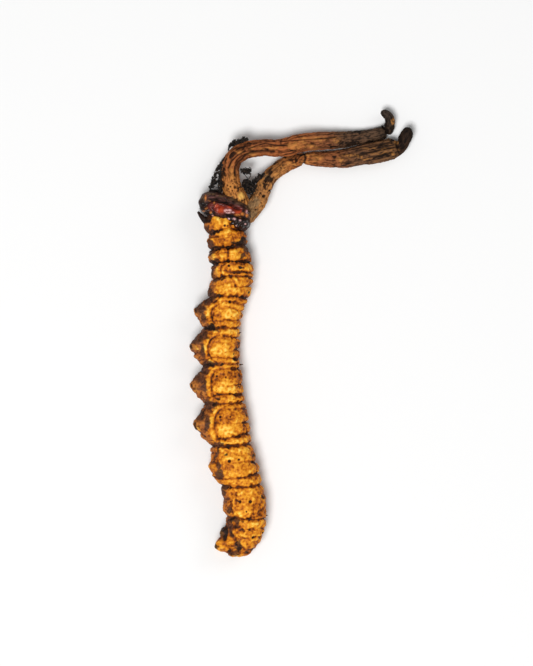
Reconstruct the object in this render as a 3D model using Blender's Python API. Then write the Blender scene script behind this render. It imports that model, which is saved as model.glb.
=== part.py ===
"""Dried cordyceps: a mummified moth larva with two fungal stalks grown out of its head.

The specimen lies on its right side on the plane Z = 0, as it dried on its tray. Its head points to +Y,
its belly and prolegs to -X and its back to +X, so its left side faces +Z. The origin is under the middle
of the whole specimen. Every length below is in millimetres, and MM turns it into metres at the end.
"""

import math

import bmesh
import bpy
import numpy as np
from mathutils import Matrix, Vector

MM = 0.001

# The larva: its outline at the crests of the folds, from the neck to the tail.
# Each row is y, x of the middle, half width (belly to back), half height, height of the middle.
BODY_OUTLINE = [
    (16.3, -10.45, 2.60, 2.40, 2.45),
    (15.0, -10.30, 2.78, 2.50, 2.45),
    (13.7, -10.07, 2.74, 2.54, 2.44),
    (12.2, -9.93, 2.76, 2.52, 2.42),
    (10.2, -9.68, 2.92, 2.58, 2.46),
    (8.6, -9.34, 2.93, 2.64, 2.50),
    (5.6, -9.72, 2.96, 2.66, 2.52),
    (2.9, -10.56, 2.74, 2.62, 2.50),
    (-1.6, -11.02, 2.74, 2.60, 2.46),
    (-7.0, -10.72, 2.92, 2.68, 2.54),
    (-11.9, -10.06, 2.98, 2.76, 2.62),
    (-15.1, -9.50, 2.90, 2.72, 2.59),
    (-17.8, -8.97, 3.20, 2.84, 2.70),
    (-20.5, -8.13, 2.96, 2.73, 2.61),
    (-22.5, -7.71, 2.93, 2.70, 2.58),
    (-24.5, -7.51, 2.82, 2.62, 2.50),
    (-26.1, -7.53, 2.72, 2.50, 2.42),
    (-27.5, -7.72, 2.50, 2.30, 2.34),
    (-28.8, -8.12, 2.00, 1.90, 2.24),
    (-29.6, -8.45, 1.55, 1.45, 2.16),
    (-30.0, -8.62, 1.12, 1.05, 2.13),
    (-30.2, -8.75, 0.50, 0.45, 2.10),
]

# The creases between the rings of the larva. Each row is the y where the crease crosses the back, the
# side and the belly, and its depth there. The letters name the thorax and abdomen segments.
FOLDS = [
    ("T1_T2", (13.5, 13.8, 13.7), (0.28, 0.40, 0.46)),
    ("T2_inner", (12.8, 12.6, 12.9), (0.20, 0.08, 0.22)),
    ("T2_T3", (11.9, 11.7, 11.3), (0.28, 0.46, 0.50)),
    ("T3_inner", (11.1, 10.9, 10.8), (0.12, 0.06, 0.16)),
    ("T3_A1", (9.5, 9.8, 9.2), (0.30, 0.46, 0.42)),
    ("A1_inner", (8.2, 8.3, 8.6), (0.28, 0.24, 0.12)),
    ("A1_A2", (7.4, 7.8, 7.3), (0.24, 0.32, 0.42)),
    ("A2_inner", (6.5, 6.3, 6.5), (0.24, 0.06, 0.10)),
    ("A2_A3", (4.7, 5.0, 4.9), (0.32, 0.30, 0.44)),
    ("A3_first", (3.8, 4.3, 4.1), (0.25, 0.16, 0.04)),
    ("A3_second", (3.1, 3.6, 3.5), (0.25, 0.06, 0.00)),
    ("A3_last", (1.8, 1.7, 1.6), (0.24, 0.22, 0.04)),
    ("A3_A4", (0.7, 0.7, 0.8), (0.30, 0.32, 0.50)),
    ("A4_first", (-0.3, -0.2, 0.2), (0.18, 0.16, 0.04)),
    ("A4_middle", (-2.2, -2.5, -2.4), (0.24, 0.06, 0.00)),
    ("A4_last", (-3.5, -3.2, -3.7), (0.24, 0.30, 0.28)),
    ("A4_A5", (-4.2, -4.1, -4.4), (0.20, 0.26, 0.48)),
    ("A5_first", (-4.9, -4.8, -5.0), (0.20, 0.16, 0.20)),
    ("A5_middle", (-6.8, -7.1, -7.0), (0.24, 0.06, 0.00)),
    ("A5_last", (-8.2, -8.2, -8.7), (0.24, 0.36, 0.20)),
    ("A5_A6", (-9.3, -9.4, -9.5), (0.28, 0.32, 0.50)),
    ("A6_first", (-10.2, -10.1, -10.0), (0.00, 0.04, 0.20)),
    ("A6_middle", (-11.9, -12.1, -12.0), (0.26, 0.06, 0.00)),
    ("A6_last", (-13.4, -14.0, -14.4), (0.28, 0.36, 0.14)),
    ("A6_A7", (-14.9, -15.1, -15.2), (0.28, 0.32, 0.36)),
    ("A7_first", (-16.1, -16.1, -16.1), (0.00, 0.04, 0.16)),
    ("A7_middle", (-17.3, -17.3, -17.3), (0.24, 0.04, 0.18)),
    ("A7_last", (-18.8, -19.5, -19.4), (0.26, 0.30, 0.08)),
    ("A7_A8", (-20.3, -20.7, -20.5), (0.28, 0.36, 0.40)),
    ("A8_inner", (-22.3, -22.3, -22.3), (0.00, 0.05, 0.18)),
    ("A8_A9", (-25.0, -25.0, -24.6), (0.26, 0.36, 0.36)),
    ("A9_A10", (-26.3, -26.2, -26.0), (0.16, 0.18, 0.08)),
    ("A10_inner", (-27.3, -27.5, -27.7), (0.24, 0.08, 0.00)),
]
NECK = (14.5, 15.3, 16.1)
FOLD_HALF_WIDTH = 0.27
FOLD_SHARPNESS = 1.2
RING_SPACING = 0.50
BODY_SEGMENTS = 28

# Prolegs, leg stumps and belly lobes. Each row is y of the tip, angle from the back, rise above the
# trunk, reach towards the head, reach towards the tail, and half breadth round the body.
PROLEG_ANGLE = 153
BELLY_LOBES = [
    ("proleg_A3", 3.1, PROLEG_ANGLE, 1.86, 1.70, 1.60, 1.40),
    ("proleg_A4", -1.75, PROLEG_ANGLE, 1.90, 1.80, 1.55, 1.40),
    ("proleg_A5", -7.0, PROLEG_ANGLE, 1.92, 1.80, 1.95, 1.40),
    ("proleg_A6", -12.25, PROLEG_ANGLE, 2.22, 1.80, 2.00, 1.45),
    ("heel_A3", 1.75, 160, 0.75, 0.85, 0.80, 1.05),
    ("heel_A4", -3.0, 160, 1.15, 0.80, 0.95, 1.15),
    ("heel_A5", -8.3, 160, 0.95, 0.80, 0.95, 1.05),
    ("heel_A6", -13.75, 160, 1.45, 0.90, 1.15, 1.25),
    ("toe_A6", -10.5, 160, 0.60, 0.50, 0.70, 0.95),
    ("stump_T2", 12.35, 148, 0.50, 0.65, 0.65, 0.75),
    ("stump_T3", 10.3, 148, 0.50, 0.70, 0.70, 0.80),
    ("stump_A1", 8.1, 148, 0.40, 0.65, 0.65, 0.75),
    ("lobe_A2", 5.8, 152, 0.25, 0.90, 0.90, 1.00),
    ("lobe_A7", -18.05, 152, 0.95, 0.95, 2.00, 1.40),
    ("lobe_A8", -23.5, 152, 0.45, 0.80, 1.10, 1.20),
    ("anal_proleg", -28.65, 157, 2.20, 3.10, 1.10, 1.30),
]

# The thin front legs of the first thorax segment: foot and tip on the left side, then foot and tip radius.
FRONT_LEG = ((-12.05, 13.55, 3.25), (-13.90, 16.40, 3.6), 0.55, 0.17)
BODY_MID_HEIGHT = 2.45

# The hard head shell: a tilted, squarish egg, cut flat where it meets the neck.
HEAD_CENTRE = (-10.25, 16.84, 2.60)
HEAD_HALF_SIZES = (3.66, 1.70, 2.42)
HEAD_TILT = -22.0
HEAD_SQUARENESS = 2.5
CONTACT_GAP = 0.12
HEAD_LUMPS = [
    # middle of each swelling of the shell, its radius and its rise
    ((-12.7, 17.6, 4.0), 1.2, 0.12),
    ((-12.7, 17.6, 1.2), 1.2, 0.12),
    ((-8.0, 15.5, 4.0), 1.4, 0.50),
    ((-8.0, 15.5, 1.2), 1.4, 0.40),
]

# The stalks. Each row is x, y, z of the middle, half width seen from above, half height.
LEFT_STALK = [
    (-9.05, 16.85, 2.80, 1.00, 1.05),
    (-9.12, 18.00, 2.88, 1.30, 1.22),
    (-9.32, 19.20, 2.95, 1.36, 1.22),
    (-9.68, 21.20, 3.05, 1.32, 1.16),
    (-9.55, 22.65, 3.05, 1.24, 1.12),
    (-9.00, 23.75, 3.05, 1.20, 1.10),
    (-7.90, 24.55, 3.00, 1.17, 1.08),
    (-6.40, 24.95, 2.92, 1.14, 1.06),
    (-4.80, 25.10, 2.82, 1.12, 1.05),
    (-3.30, 25.00, 2.74, 1.14, 1.05),
    (-1.95, 25.15, 2.64, 1.24, 1.04),
    (-0.50, 25.65, 2.46, 1.23, 1.02),
    (1.40, 25.92, 2.14, 1.20, 1.00),
    (3.60, 26.07, 1.70, 1.18, 0.99),
    (5.90, 26.25, 1.28, 1.08, 0.97),
    (7.90, 26.52, 0.98, 0.96, 0.95),
    (9.90, 26.90, 0.88, 0.85, 0.88),
    (11.10, 27.25, 0.90, 0.87, 0.83),
    (11.72, 27.65, 0.98, 0.78, 0.74),
    (11.92, 28.20, 1.12, 0.69, 0.66),
    (11.98, 28.80, 1.30, 0.65, 0.61),
    (11.75, 29.36, 1.46, 0.62, 0.57),
    (11.32, 29.72, 1.58, 0.56, 0.52),
    (10.98, 29.84, 1.63, 0.44, 0.42),
    (10.72, 29.90, 1.66, 0.18, 0.18),
]
RIGHT_STALK = [
    (-7.75, 15.00, 2.45, 0.55, 0.80),
    (-7.30, 15.75, 2.45, 1.00, 1.15),
    (-6.72, 16.70, 2.50, 1.18, 1.30),
    (-5.98, 17.90, 2.48, 1.22, 1.25),
    (-5.38, 19.10, 2.34, 1.12, 1.18),
    (-4.90, 20.20, 2.14, 1.10, 1.10),
    (-4.30, 21.15, 1.95, 1.02, 1.05),
    (-3.25, 22.10, 1.75, 1.02, 1.00),
    (-2.15, 22.80, 1.56, 1.04, 0.98),
    (-1.00, 23.25, 1.36, 0.92, 0.90),
    (0.20, 23.68, 1.16, 0.76, 0.78),
    (1.45, 23.64, 1.05, 0.94, 0.90),
    (3.20, 23.58, 1.04, 1.06, 1.00),
    (5.20, 23.62, 1.10, 1.18, 1.10),
    (6.85, 23.86, 1.20, 1.30, 1.20),
    (8.20, 24.14, 1.28, 1.35, 1.29),
    (9.90, 24.46, 1.33, 1.45, 1.35),
    (11.40, 24.78, 1.33, 1.46, 1.35),
    (12.25, 24.98, 1.33, 1.42, 1.28),
    (12.80, 25.13, 1.34, 1.18, 1.05),
    (13.20, 25.32, 1.38, 1.00, 0.88),
    (13.65, 25.80, 1.46, 0.90, 0.82),
    (14.03, 26.48, 1.60, 0.87, 0.80),
    (14.33, 27.10, 1.74, 0.80, 0.74),
    (14.57, 27.50, 1.84, 0.60, 0.57),
    (14.76, 27.72, 1.88, 0.20, 0.22),
]
STALK_SEGMENTS = 16
STALK_SPACING = 0.72
STALK_RIDGES = 5
STALK_RIDGE_SHARE = 0.055
STALK_TWIST_PER_MM = 0.10
# Soil and rootlets stuck to the stalks. Each row is x, y, z, half width, half height.
SOIL_CRUST = [
    (-11.60, 19.00, 3.10, 0.15, 0.15),
    (-11.62, 19.35, 3.10, 0.62, 0.55),
    (-11.62, 19.95, 3.10, 0.70, 0.60),
    (-11.58, 20.65, 3.12, 0.46, 0.52),
    (-11.46, 21.40, 3.15, 0.34, 0.44),
    (-11.20, 22.10, 3.20, 0.26, 0.36),
    (-11.02, 22.70, 3.20, 0.20, 0.26),
    (-10.86, 23.20, 3.20, 0.06, 0.08),
]
SOIL_TUFT = [
    (-10.05, 24.66, 3.15, 0.06, 0.08),
    (-9.88, 24.96, 3.15, 0.22, 0.28),
    (-9.50, 25.44, 3.15, 0.34, 0.38),
    (-8.93, 25.80, 3.15, 0.35, 0.40),
    (-8.22, 26.07, 3.15, 0.31, 0.36),
    (-7.60, 26.24, 3.15, 0.20, 0.22),
    (-7.30, 26.30, 3.15, 0.05, 0.06),
]
SOIL_CLUMP = [
    (-7.45, 18.05, 2.95, 0.10, 0.12),
    (-7.40, 18.45, 2.98, 0.32, 0.50),
    (-7.20, 19.15, 3.05, 0.66, 0.85),
    (-7.10, 19.90, 3.05, 0.82, 1.05),
    (-7.12, 20.50, 3.05, 0.66, 0.90),
    (-7.22, 20.95, 3.05, 0.38, 0.45),
    (-7.35, 21.25, 3.05, 0.32, 0.34),
    (-7.45, 21.60, 3.05, 0.62, 0.56),
    (-7.48, 21.98, 3.05, 0.74, 0.66),
    (-7.48, 22.38, 3.05, 0.48, 0.46),
    (-7.48, 22.58, 3.05, 0.12, 0.14),
]
SOIL_CLUMP_ARM = [
    (-7.00, 19.85, 3.05, 0.20, 0.25),
    (-6.62, 20.28, 3.00, 0.36, 0.46),
    (-6.28, 20.74, 2.94, 0.29, 0.42),
    (-5.95, 21.12, 2.90, 0.23, 0.36),
    (-5.62, 21.46, 2.86, 0.16, 0.28),
    (-5.45, 21.66, 2.84, 0.05, 0.08),
]
SOIL_SEGMENTS = 10
SOIL_LUMPINESS = 0.08


def smooth(at, knots, values):
    """The smooth curve through (knots, values), read at the places in at. Knots may rise or fall."""
    knots = np.asarray(knots, float)
    values = np.asarray(values, float)
    if knots[0] > knots[-1]:
        knots = knots[::-1]
        values = values[::-1]
    slopes = np.gradient(values, knots)
    at = np.clip(at, knots[0], knots[-1])
    i = np.clip(np.searchsorted(knots, at) - 1, 0, len(knots) - 2)
    span = knots[i + 1] - knots[i]
    t = (at - knots[i]) / span
    start = (1 + 2 * t) * (1 - t) ** 2 * values[i] + t * (1 - t) ** 2 * span * slopes[i]
    end = t * t * (3 - 2 * t) * values[i + 1] + t * t * (t - 1) * span * slopes[i + 1]
    return start + end


def round_the_body(three, cosine):
    """A value given on the back, side and belly, read at the cosine of the angle from the back."""
    back, side, belly = three
    return side + (back - belly) / 2 * cosine + ((back + belly) / 2 - side) * cosine**2


def fold_cut(y, cosine):
    """How deep the creases lie under the larva's outline."""
    cut = np.zeros_like(y)
    for _, places, depths in FOLDS:
        away = np.abs(y - round_the_body(places, cosine)) / FOLD_HALF_WIDTH
        depth = np.maximum(round_the_body(depths, cosine), 0)
        cut += depth * np.exp(-(away**FOLD_SHARPNESS))
    return cut


def belly_rise(y, angle, half_width):
    """How far prolegs, stumps and lobes stand out of the larva's trunk."""
    rise = np.zeros_like(y)
    for _, tip, middle, height, to_head, to_tail, breadth in BELLY_LOBES:
        along = (y - tip) / np.where(y > tip, to_head, to_tail)
        for side in (middle, 360 - middle):
            turn = (angle - math.radians(side) + math.pi) % (2 * math.pi) - math.pi
            away = np.hypot(along, turn * half_width / breadth)
            blunt = 0.12
            cone = np.clip(1 + blunt - np.hypot(away, blunt), 0, 1)
            rise = np.maximum(rise, height * cone**1.15)
    return rise


def body_points(y, angle):
    """The larva's surface at y and at the angle from its back, as an array of x, y, z."""
    table = np.array(BODY_OUTLINE)
    middle, half_width, half_height, height = (
        smooth(y, table[:, 0], table[:, column]) for column in range(1, 5)
    )
    cosine = np.cos(angle)
    out = belly_rise(y, angle, half_width) - np.minimum(
        fold_cut(y, cosine), 0.3 * half_width
    )
    x = middle + (half_width + out) * cosine
    z = height + (half_height + out) * np.sin(angle)
    return np.stack([x, y, np.maximum(z, 0)], axis=-1)


def body_rings():
    """The ring stations: one in every crease and a few between, as rows of y on the back, side and belly."""
    creases = [NECK] + [places for _, places, _ in FOLDS] + [(-30.2, -30.2, -30.2)]
    rings = []
    for first, last in zip(creases, creases[1:]):
        steps = max(2, round((first[1] - last[1]) / RING_SPACING))
        for k in range(steps):
            share = k / steps
            rings.append([a + (b - a) * share for a, b in zip(first, last)])
    return rings + [list(creases[-1])]


def lathe(rings, segments):
    """A closed tube of rings round the Z axis, one millimetre apart, with a flat fan at each end."""
    bm = bmesh.new()
    verts = [bm.verts.new((1, 0, -k)) for k in range(rings)]
    edges = [bm.edges.new(pair) for pair in zip(verts, verts[1:])]
    bmesh.ops.spin(
        bm,
        geom=verts + edges,
        cent=(0, 0, 0),
        axis=(0, 0, 1),
        angle=2 * math.pi,
        steps=segments,
        use_merge=True,
    )
    bmesh.ops.remove_doubles(bm, verts=bm.verts, dist=1e-4)
    ends = [e for e in bm.edges if e.is_boundary]
    caps = bmesh.ops.holes_fill(bm, edges=ends, sides=segments)["faces"]
    bmesh.ops.poke(bm, faces=caps)
    bmesh.ops.recalc_face_normals(bm, faces=bm.faces)
    return bm


def shape_lathe(bm, rings, place):
    """Moves every vertex of a lathe to place(ring number, angle), and each end's middle to its ring's mean."""
    bm.verts.ensure_lookup_table()
    co = np.array([v.co for v in bm.verts])
    ring = np.rint(-co[:, 2]).astype(int)
    angle = np.arctan2(co[:, 1], co[:, 0]) % (2 * math.pi)
    middles = np.hypot(co[:, 0], co[:, 1]) < 0.5
    points = place(ring, angle)
    for k in (0, rings - 1):
        rim = (ring == k) & ~middles
        points[(ring == k) & middles] = points[rim].mean(axis=0)
    for vert, point in zip(bm.verts, points):
        vert.co = point


def finish(name, bm, material, smooth_angle=40):
    """Makes the mesh an object in metres, with its material."""
    bmesh.ops.transform(bm, matrix=Matrix.Scale(MM, 4), verts=bm.verts)
    bmesh.ops.triangulate(bm, faces=bm.faces)
    mesh = bpy.data.meshes.new(name)
    bm.to_mesh(mesh)
    bm.free()
    mesh.materials.append(material)
    mesh.shade_smooth()
    mesh.set_sharp_from_angle(angle=math.radians(smooth_angle))
    obj = bpy.data.objects.new(name, mesh)
    bpy.context.scene.collection.objects.link(obj)
    return obj


def material(name, colour, roughness):
    made = bpy.data.materials.new(name)
    made.use_nodes = True
    shader = made.node_tree.nodes["Principled BSDF"]
    shader.inputs["Base Color"].default_value = (*colour, 1)
    shader.inputs["Roughness"].default_value = roughness
    shader.inputs["Metallic"].default_value = 0.0
    return made


def combine(obj, helper, operation):
    """Joins a helper solid to obj or cuts it away with a Boolean, and keeps the helper out of the model."""
    helper.hide_render = True
    helper.display_type = "WIRE"
    boolean = obj.modifiers.new(operation.lower() + "_" + helper.name, "BOOLEAN")
    boolean.operation = operation
    boolean.solver = "EXACT"
    boolean.object = helper


def front_leg(name, side, skin):
    """One thin front leg, a tapered rod that leans forward from the belly. side is 1 above, -1 below."""
    foot, tip, foot_radius, tip_radius = FRONT_LEG
    ends = []
    for x, y, z in (foot, tip):
        ends.append(Vector((x, y, BODY_MID_HEIGHT + side * (z - BODY_MID_HEIGHT))))
    along = ends[1] - ends[0]
    bm = bmesh.new()
    bmesh.ops.create_cone(
        bm,
        cap_ends=True,
        segments=8,
        radius1=foot_radius,
        radius2=tip_radius,
        depth=along.length,
    )
    turn = Vector((0, 0, 1)).rotation_difference(along).to_matrix().to_4x4()
    place = Matrix.Translation((ends[0] + ends[1]) / 2) @ turn
    bmesh.ops.transform(bm, matrix=place, verts=bm.verts)
    return finish(name, bm, skin)


def larva_body(skin):
    rings = np.array(body_rings())
    bm = lathe(len(rings), BODY_SEGMENTS)

    def place(ring, angle):
        return body_points(round_the_body(rings[ring].T, np.cos(angle)), angle)

    shape_lathe(bm, len(rings), place)
    body = finish("larva_body", bm, skin)
    for side, word in ((1, "left"), (-1, "right")):
        combine(body, front_leg("front_leg_" + word, side, skin), "UNION")
    return body


def head_egg(grow=0.0):
    """The head shell before it is cut at the neck, swollen by grow."""
    bm = bmesh.new()
    bmesh.ops.create_uvsphere(bm, u_segments=20, v_segments=11, radius=1)
    for vert in bm.verts:
        x, y, z = (abs(c) for c in vert.co)
        around = (x**HEAD_SQUARENESS + y**HEAD_SQUARENESS) ** (1 / HEAD_SQUARENESS)
        if around > 0.01:
            vert.co *= 1 / math.hypot(around, z)
    tilt = Matrix.Rotation(math.radians(HEAD_TILT), 4, "Z")
    sizes = Matrix.Diagonal((*[size + grow for size in HEAD_HALF_SIZES], 1))
    place = Matrix.Translation(HEAD_CENTRE) @ tilt @ sizes
    bmesh.ops.transform(bm, matrix=place, verts=bm.verts)
    for vert in bm.verts:
        outward = (vert.co - Vector(HEAD_CENTRE)).normalized()
        for centre, radius, rise in HEAD_LUMPS:
            away = (vert.co - Vector(centre)).length / (radius + grow)
            vert.co += outward * rise * math.exp(-away * away)
    return bm


def head_shell(shell):
    bm = head_egg()
    slope = (NECK[0] - NECK[2]) / (2 * BODY_OUTLINE[1][2])
    up = Vector((-slope, 1, 0)).normalized()
    neck_middle = Vector((BODY_OUTLINE[1][1], NECK[1], 0)) + up * CONTACT_GAP
    cut = bmesh.ops.bisect_plane(
        bm,
        geom=bm.verts[:] + bm.edges[:] + bm.faces[:],
        plane_co=neck_middle,
        plane_no=up,
        clear_inner=True,
    )
    rim = [e for e in cut["geom_cut"] if isinstance(e, bmesh.types.BMEdge)]
    bmesh.ops.holes_fill(bm, edges=rim, sides=0)
    return finish("head_shell", bm, shell)


def tube_points(rows, stations, angle, ridges=0, ridge_share=0.0, twist=0.0):
    """The surface of a flattened tube along a curve, at a station from 0 to 1 and an angle round it."""
    table = np.array(rows)
    steps = np.hypot(*np.diff(table[:, :2], axis=0).T)
    along = np.concatenate([[0], np.cumsum(steps)])
    at = stations * along[-1]
    x, y, z, half_width, half_height = (smooth(at, along, column) for column in table.T)
    step = 0.05
    ahead = [smooth(np.minimum(at + step, along[-1]), along, table[:, k]) for k in (0, 1)]
    behind = [smooth(np.maximum(at - step, 0), along, table[:, k]) for k in (0, 1)]
    run = np.array(ahead) - np.array(behind)
    run /= np.hypot(*run)
    across = half_width * np.cos(angle)
    wave = 1 + ridge_share * np.cos(ridges * angle + twist * at)
    points = [x + run[1] * across * wave, y - run[0] * across * wave]
    points.append(np.maximum(z + half_height * np.sin(angle) * wave, 0))
    return np.stack(points, axis=-1)


def tube(rows, segments, spacing, **ridge):
    """A closed tube through the rows, with a ring about every spacing millimetres."""
    table = np.array(rows)
    length = np.hypot(*np.diff(table[:, :2], axis=0).T).sum()
    rings = max(6, round(length / spacing)) + 1
    bm = lathe(rings, segments)

    def place(ring, angle):
        # Rings crowd towards both ends, where the tube rounds off.
        share = ring / (rings - 1)
        share = share - 0.35 * np.sin(2 * math.pi * share) / (2 * math.pi)
        return tube_points(rows, share, angle, **ridge)

    shape_lathe(bm, rings, place)
    return bm


def stalk(name, rows, skin, head_socket):
    """One stalk, which starts inside the head and is cut clear of it by the swollen head."""
    bm = tube(
        rows,
        STALK_SEGMENTS,
        STALK_SPACING,
        ridges=STALK_RIDGES,
        ridge_share=STALK_RIDGE_SHARE,
        twist=STALK_TWIST_PER_MM,
    )
    made = finish(name, bm, skin)
    combine(made, head_socket, "DIFFERENCE")
    return made


def soil(name, rows, earth):
    """A knobbly lump of soil along a curve."""
    bm = tube(rows, SOIL_SEGMENTS, 0.38)
    bm.normal_update()
    for k, vert in enumerate(bm.verts):
        vert.co += vert.normal * SOIL_LUMPINESS * math.sin(2.4 * k)
    return finish(name, bm, earth, smooth_angle=20)


def main():
    for obj in list(bpy.data.objects):
        bpy.data.objects.remove(obj, do_unlink=True)
    skin = material("larva_skin", (0.66, 0.31, 0.05), 0.55)
    shell = material("head_shell", (0.16, 0.03, 0.015), 0.18)
    flesh = material("stalk_flesh", (0.20, 0.075, 0.025), 0.7)
    earth = material("soil", (0.025, 0.016, 0.01), 0.9)
    larva_body(skin)
    head_shell(shell)
    head_socket = finish("head_socket", head_egg(CONTACT_GAP), shell)
    stalk("stalk_left", LEFT_STALK, flesh, head_socket)
    stalk("stalk_right", RIGHT_STALK, flesh, head_socket)
    soil("soil_crust", SOIL_CRUST, earth)
    soil("soil_tuft", SOIL_TUFT, earth)
    clump = soil("soil_clump", SOIL_CLUMP, earth)
    combine(clump, soil("soil_clump_arm", SOIL_CLUMP_ARM, earth), "UNION")


main()
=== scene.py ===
import math
import random

import bmesh
import bpy
import numpy as np
from mathutils import Matrix, Vector, noise


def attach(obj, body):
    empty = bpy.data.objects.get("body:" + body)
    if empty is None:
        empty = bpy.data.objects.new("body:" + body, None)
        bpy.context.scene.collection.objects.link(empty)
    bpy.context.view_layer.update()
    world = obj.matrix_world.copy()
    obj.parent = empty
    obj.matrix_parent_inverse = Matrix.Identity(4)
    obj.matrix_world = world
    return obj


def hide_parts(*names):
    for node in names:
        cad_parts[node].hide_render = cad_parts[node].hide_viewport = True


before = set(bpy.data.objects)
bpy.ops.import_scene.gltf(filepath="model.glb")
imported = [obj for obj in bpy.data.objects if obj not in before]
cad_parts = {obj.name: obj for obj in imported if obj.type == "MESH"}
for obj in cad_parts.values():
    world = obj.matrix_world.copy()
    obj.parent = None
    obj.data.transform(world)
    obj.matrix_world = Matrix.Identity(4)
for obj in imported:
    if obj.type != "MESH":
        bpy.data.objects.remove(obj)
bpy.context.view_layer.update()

# Dried cordyceps, seen from straight above: a mummified moth larva and the two stalks that grew
# from its head.
# The larva lies on its right side, head towards +Y, belly towards -X. Pieces are shaped in millimetres.
mm = 0.001

# The photograph: its height in pixels, the millimetres that a pixel covers, and the pixel over the origin.
photo = {"height": 666, "mmPerPixel": 0.135, "originPixel": (301.5, 333.5)}


def fromPhoto(u, v):
    # millimetres in the frame under a pixel of the photograph
    originU, originV = photo["originPixel"]
    return (u - originU) * photo["mmPerPixel"], (originV - v) * photo["mmPerPixel"]


def pixelsToMm(count):
    return count * photo["mmPerPixel"]


# Reading curves and noise

def smoothRead(at, knots, values):
    # the smooth curve through (knots, values), read at the places in at
    knots = np.asarray(knots, float)
    values = np.asarray(values, float)
    if knots[0] > knots[-1]:
        knots = knots[::-1]
        values = values[::-1]
    slopes = np.gradient(values, knots)
    at = np.clip(at, knots[0], knots[-1])
    i = np.clip(np.searchsorted(knots, at) - 1, 0, len(knots) - 2)
    span = knots[i + 1] - knots[i]
    t = (at - knots[i]) / span
    start = (1 + 2 * t) * (1 - t) ** 2 * values[i] + t * (1 - t) ** 2 * span * slopes[i]
    end = t * t * (3 - 2 * t) * values[i + 1] + t * t * (t - 1) * span * slopes[i + 1]
    return start + end


def noiseAt(points, size, octaves=1, seed=0):
    # smooth noise, about -1 to 1, whose lumps are about size across; points is an array of x, y, z
    flat = np.asarray(points, float).reshape(-1, 3) / size + (seed * 17.3, seed * 5.1, seed * 9.7)
    read = [noise.fractal(p, 1.0, 2.0, octaves) for p in flat.tolist()]
    return np.array(read).reshape(np.shape(points)[:-1])


def smoothStep(values, low, high):
    t = np.clip((values - low) / (high - low), 0, 1)
    return t * t * (3 - 2 * t)


def nearLine(points, line, width):
    # 1 on a line drawn over the photograph, falling to 0 a little more than width (mm) beside it,
    # seen from above
    places = np.array([fromPhoto(*pixel) for pixel in line])
    away = np.full(points.shape[:-1], 1e6)
    for a, b in zip(places, places[1:]):
        run = b - a
        share = np.clip(((points[..., :2] - a) @ run) / (run @ run), 0, 1)
        foot = a + share[..., None] * run
        away = np.minimum(away, np.linalg.norm(points[..., :2] - foot, axis=-1))
    return np.exp(-((away / width) ** 2))


def nearSpot(points, spot):
    # 1 in a spot of the photograph, given as u, v, and radius across and down in pixels
    u, v, across, down = spot
    x, y = fromPhoto(u, v)
    away = np.hypot((points[..., 0] - x) / pixelsToMm(across), (points[..., 1] - y) / pixelsToMm(down))
    return np.exp(-(away**3))


def most(fields):
    return np.max(np.stack(fields), axis=0)


# Tubes: a spun profile gives the faces, and a grid of points, ring by ring, gives each vertex its place

def spunTube(rings, segments):
    bm = bmesh.new()
    verts = [bm.verts.new((1, 0, -k)) for k in range(rings)]
    edges = [bm.edges.new(pair) for pair in zip(verts, verts[1:])]
    bmesh.ops.spin(
        bm,
        geom=verts + edges,
        cent=(0, 0, 0),
        axis=(0, 0, 1),
        angle=2 * math.pi,
        steps=segments,
        use_merge=True,
    )
    bmesh.ops.remove_doubles(bm, verts=bm.verts, dist=1e-4)
    ends = [e for e in bm.edges if e.is_boundary]
    caps = bmesh.ops.holes_fill(bm, edges=ends, sides=segments)["faces"]
    bmesh.ops.poke(bm, faces=caps)
    bmesh.ops.recalc_face_normals(bm, faces=bm.faces)
    return bm


def gridNormals(grid):
    # outward normals of a grid of points, ring by ring
    along = np.gradient(grid, axis=0)
    around = np.roll(grid, -1, axis=1) - np.roll(grid, 1, axis=1)
    normals = np.cross(around, along)
    normals /= np.maximum(np.linalg.norm(normals, axis=2, keepdims=True), 1e-9)
    outward = grid - grid.mean(axis=1, keepdims=True)
    return normals * np.sign((normals * outward).sum())


def blurred(grid, times):
    # a grid softened along and around; ring ends repeat
    for _ in range(times):
        grid = (grid + np.roll(grid, 1, axis=1) + np.roll(grid, -1, axis=1)) / 3
        before = np.concatenate([grid[:1], grid[:-1]])
        after = np.concatenate([grid[1:], grid[-1:]])
        grid = (grid + before + after) / 3
    return grid


def hollowness(grid, normals, times, depth):
    # 1 in a crease at least depth (mm) under its surroundings, 0 on open or raised skin
    sunk = ((blurred(grid, times) - grid) * normals).sum(axis=2)
    return np.clip(sunk / depth, -1, 1)


def gridToBmesh(grid, fields):
    # the tube with its vertices at the grid's points, and a float layer for each field
    rings, segments = grid.shape[:2]
    bm = spunTube(rings, segments)
    layers = {name: bm.verts.layers.float.new(name) for name in fields}
    bm.verts.ensure_lookup_table()
    co = np.array([v.co for v in bm.verts])
    ring = np.clip(np.rint(-co[:, 2]).astype(int), 0, rings - 1)
    turn = np.arctan2(co[:, 1], co[:, 0]) / (2 * math.pi) * segments
    segment = np.rint(turn).astype(int) % segments
    middle = np.hypot(co[:, 0], co[:, 1]) < 0.5
    places = np.where(middle[:, None], grid[ring].mean(axis=1), grid[ring, segment])
    for vert, place in zip(bm.verts, places.tolist()):
        vert.co = place
    for name, field in fields.items():
        layer = layers[name]
        for vert, value in zip(bm.verts, field[ring, segment].tolist()):
            vert[layer] = value
    bmesh.ops.recalc_face_normals(bm, faces=bm.faces)
    return bm


def finishPiece(name, bm, material, replaced):
    # makes a bmesh in millimetres an object of the frame
    bmesh.ops.transform(bm, matrix=Matrix.Scale(mm, 4), verts=bm.verts)
    mesh = bpy.data.meshes.new(name)
    bm.to_mesh(mesh)
    bm.free()
    mesh.materials.append(material)
    mesh.shade_smooth()
    piece = bpy.data.objects.new(name, mesh)
    bpy.context.scene.collection.objects.link(piece)
    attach(piece, "root")
    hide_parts(replaced)
    print(name, len(mesh.polygons), "faces")
    return piece


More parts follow.
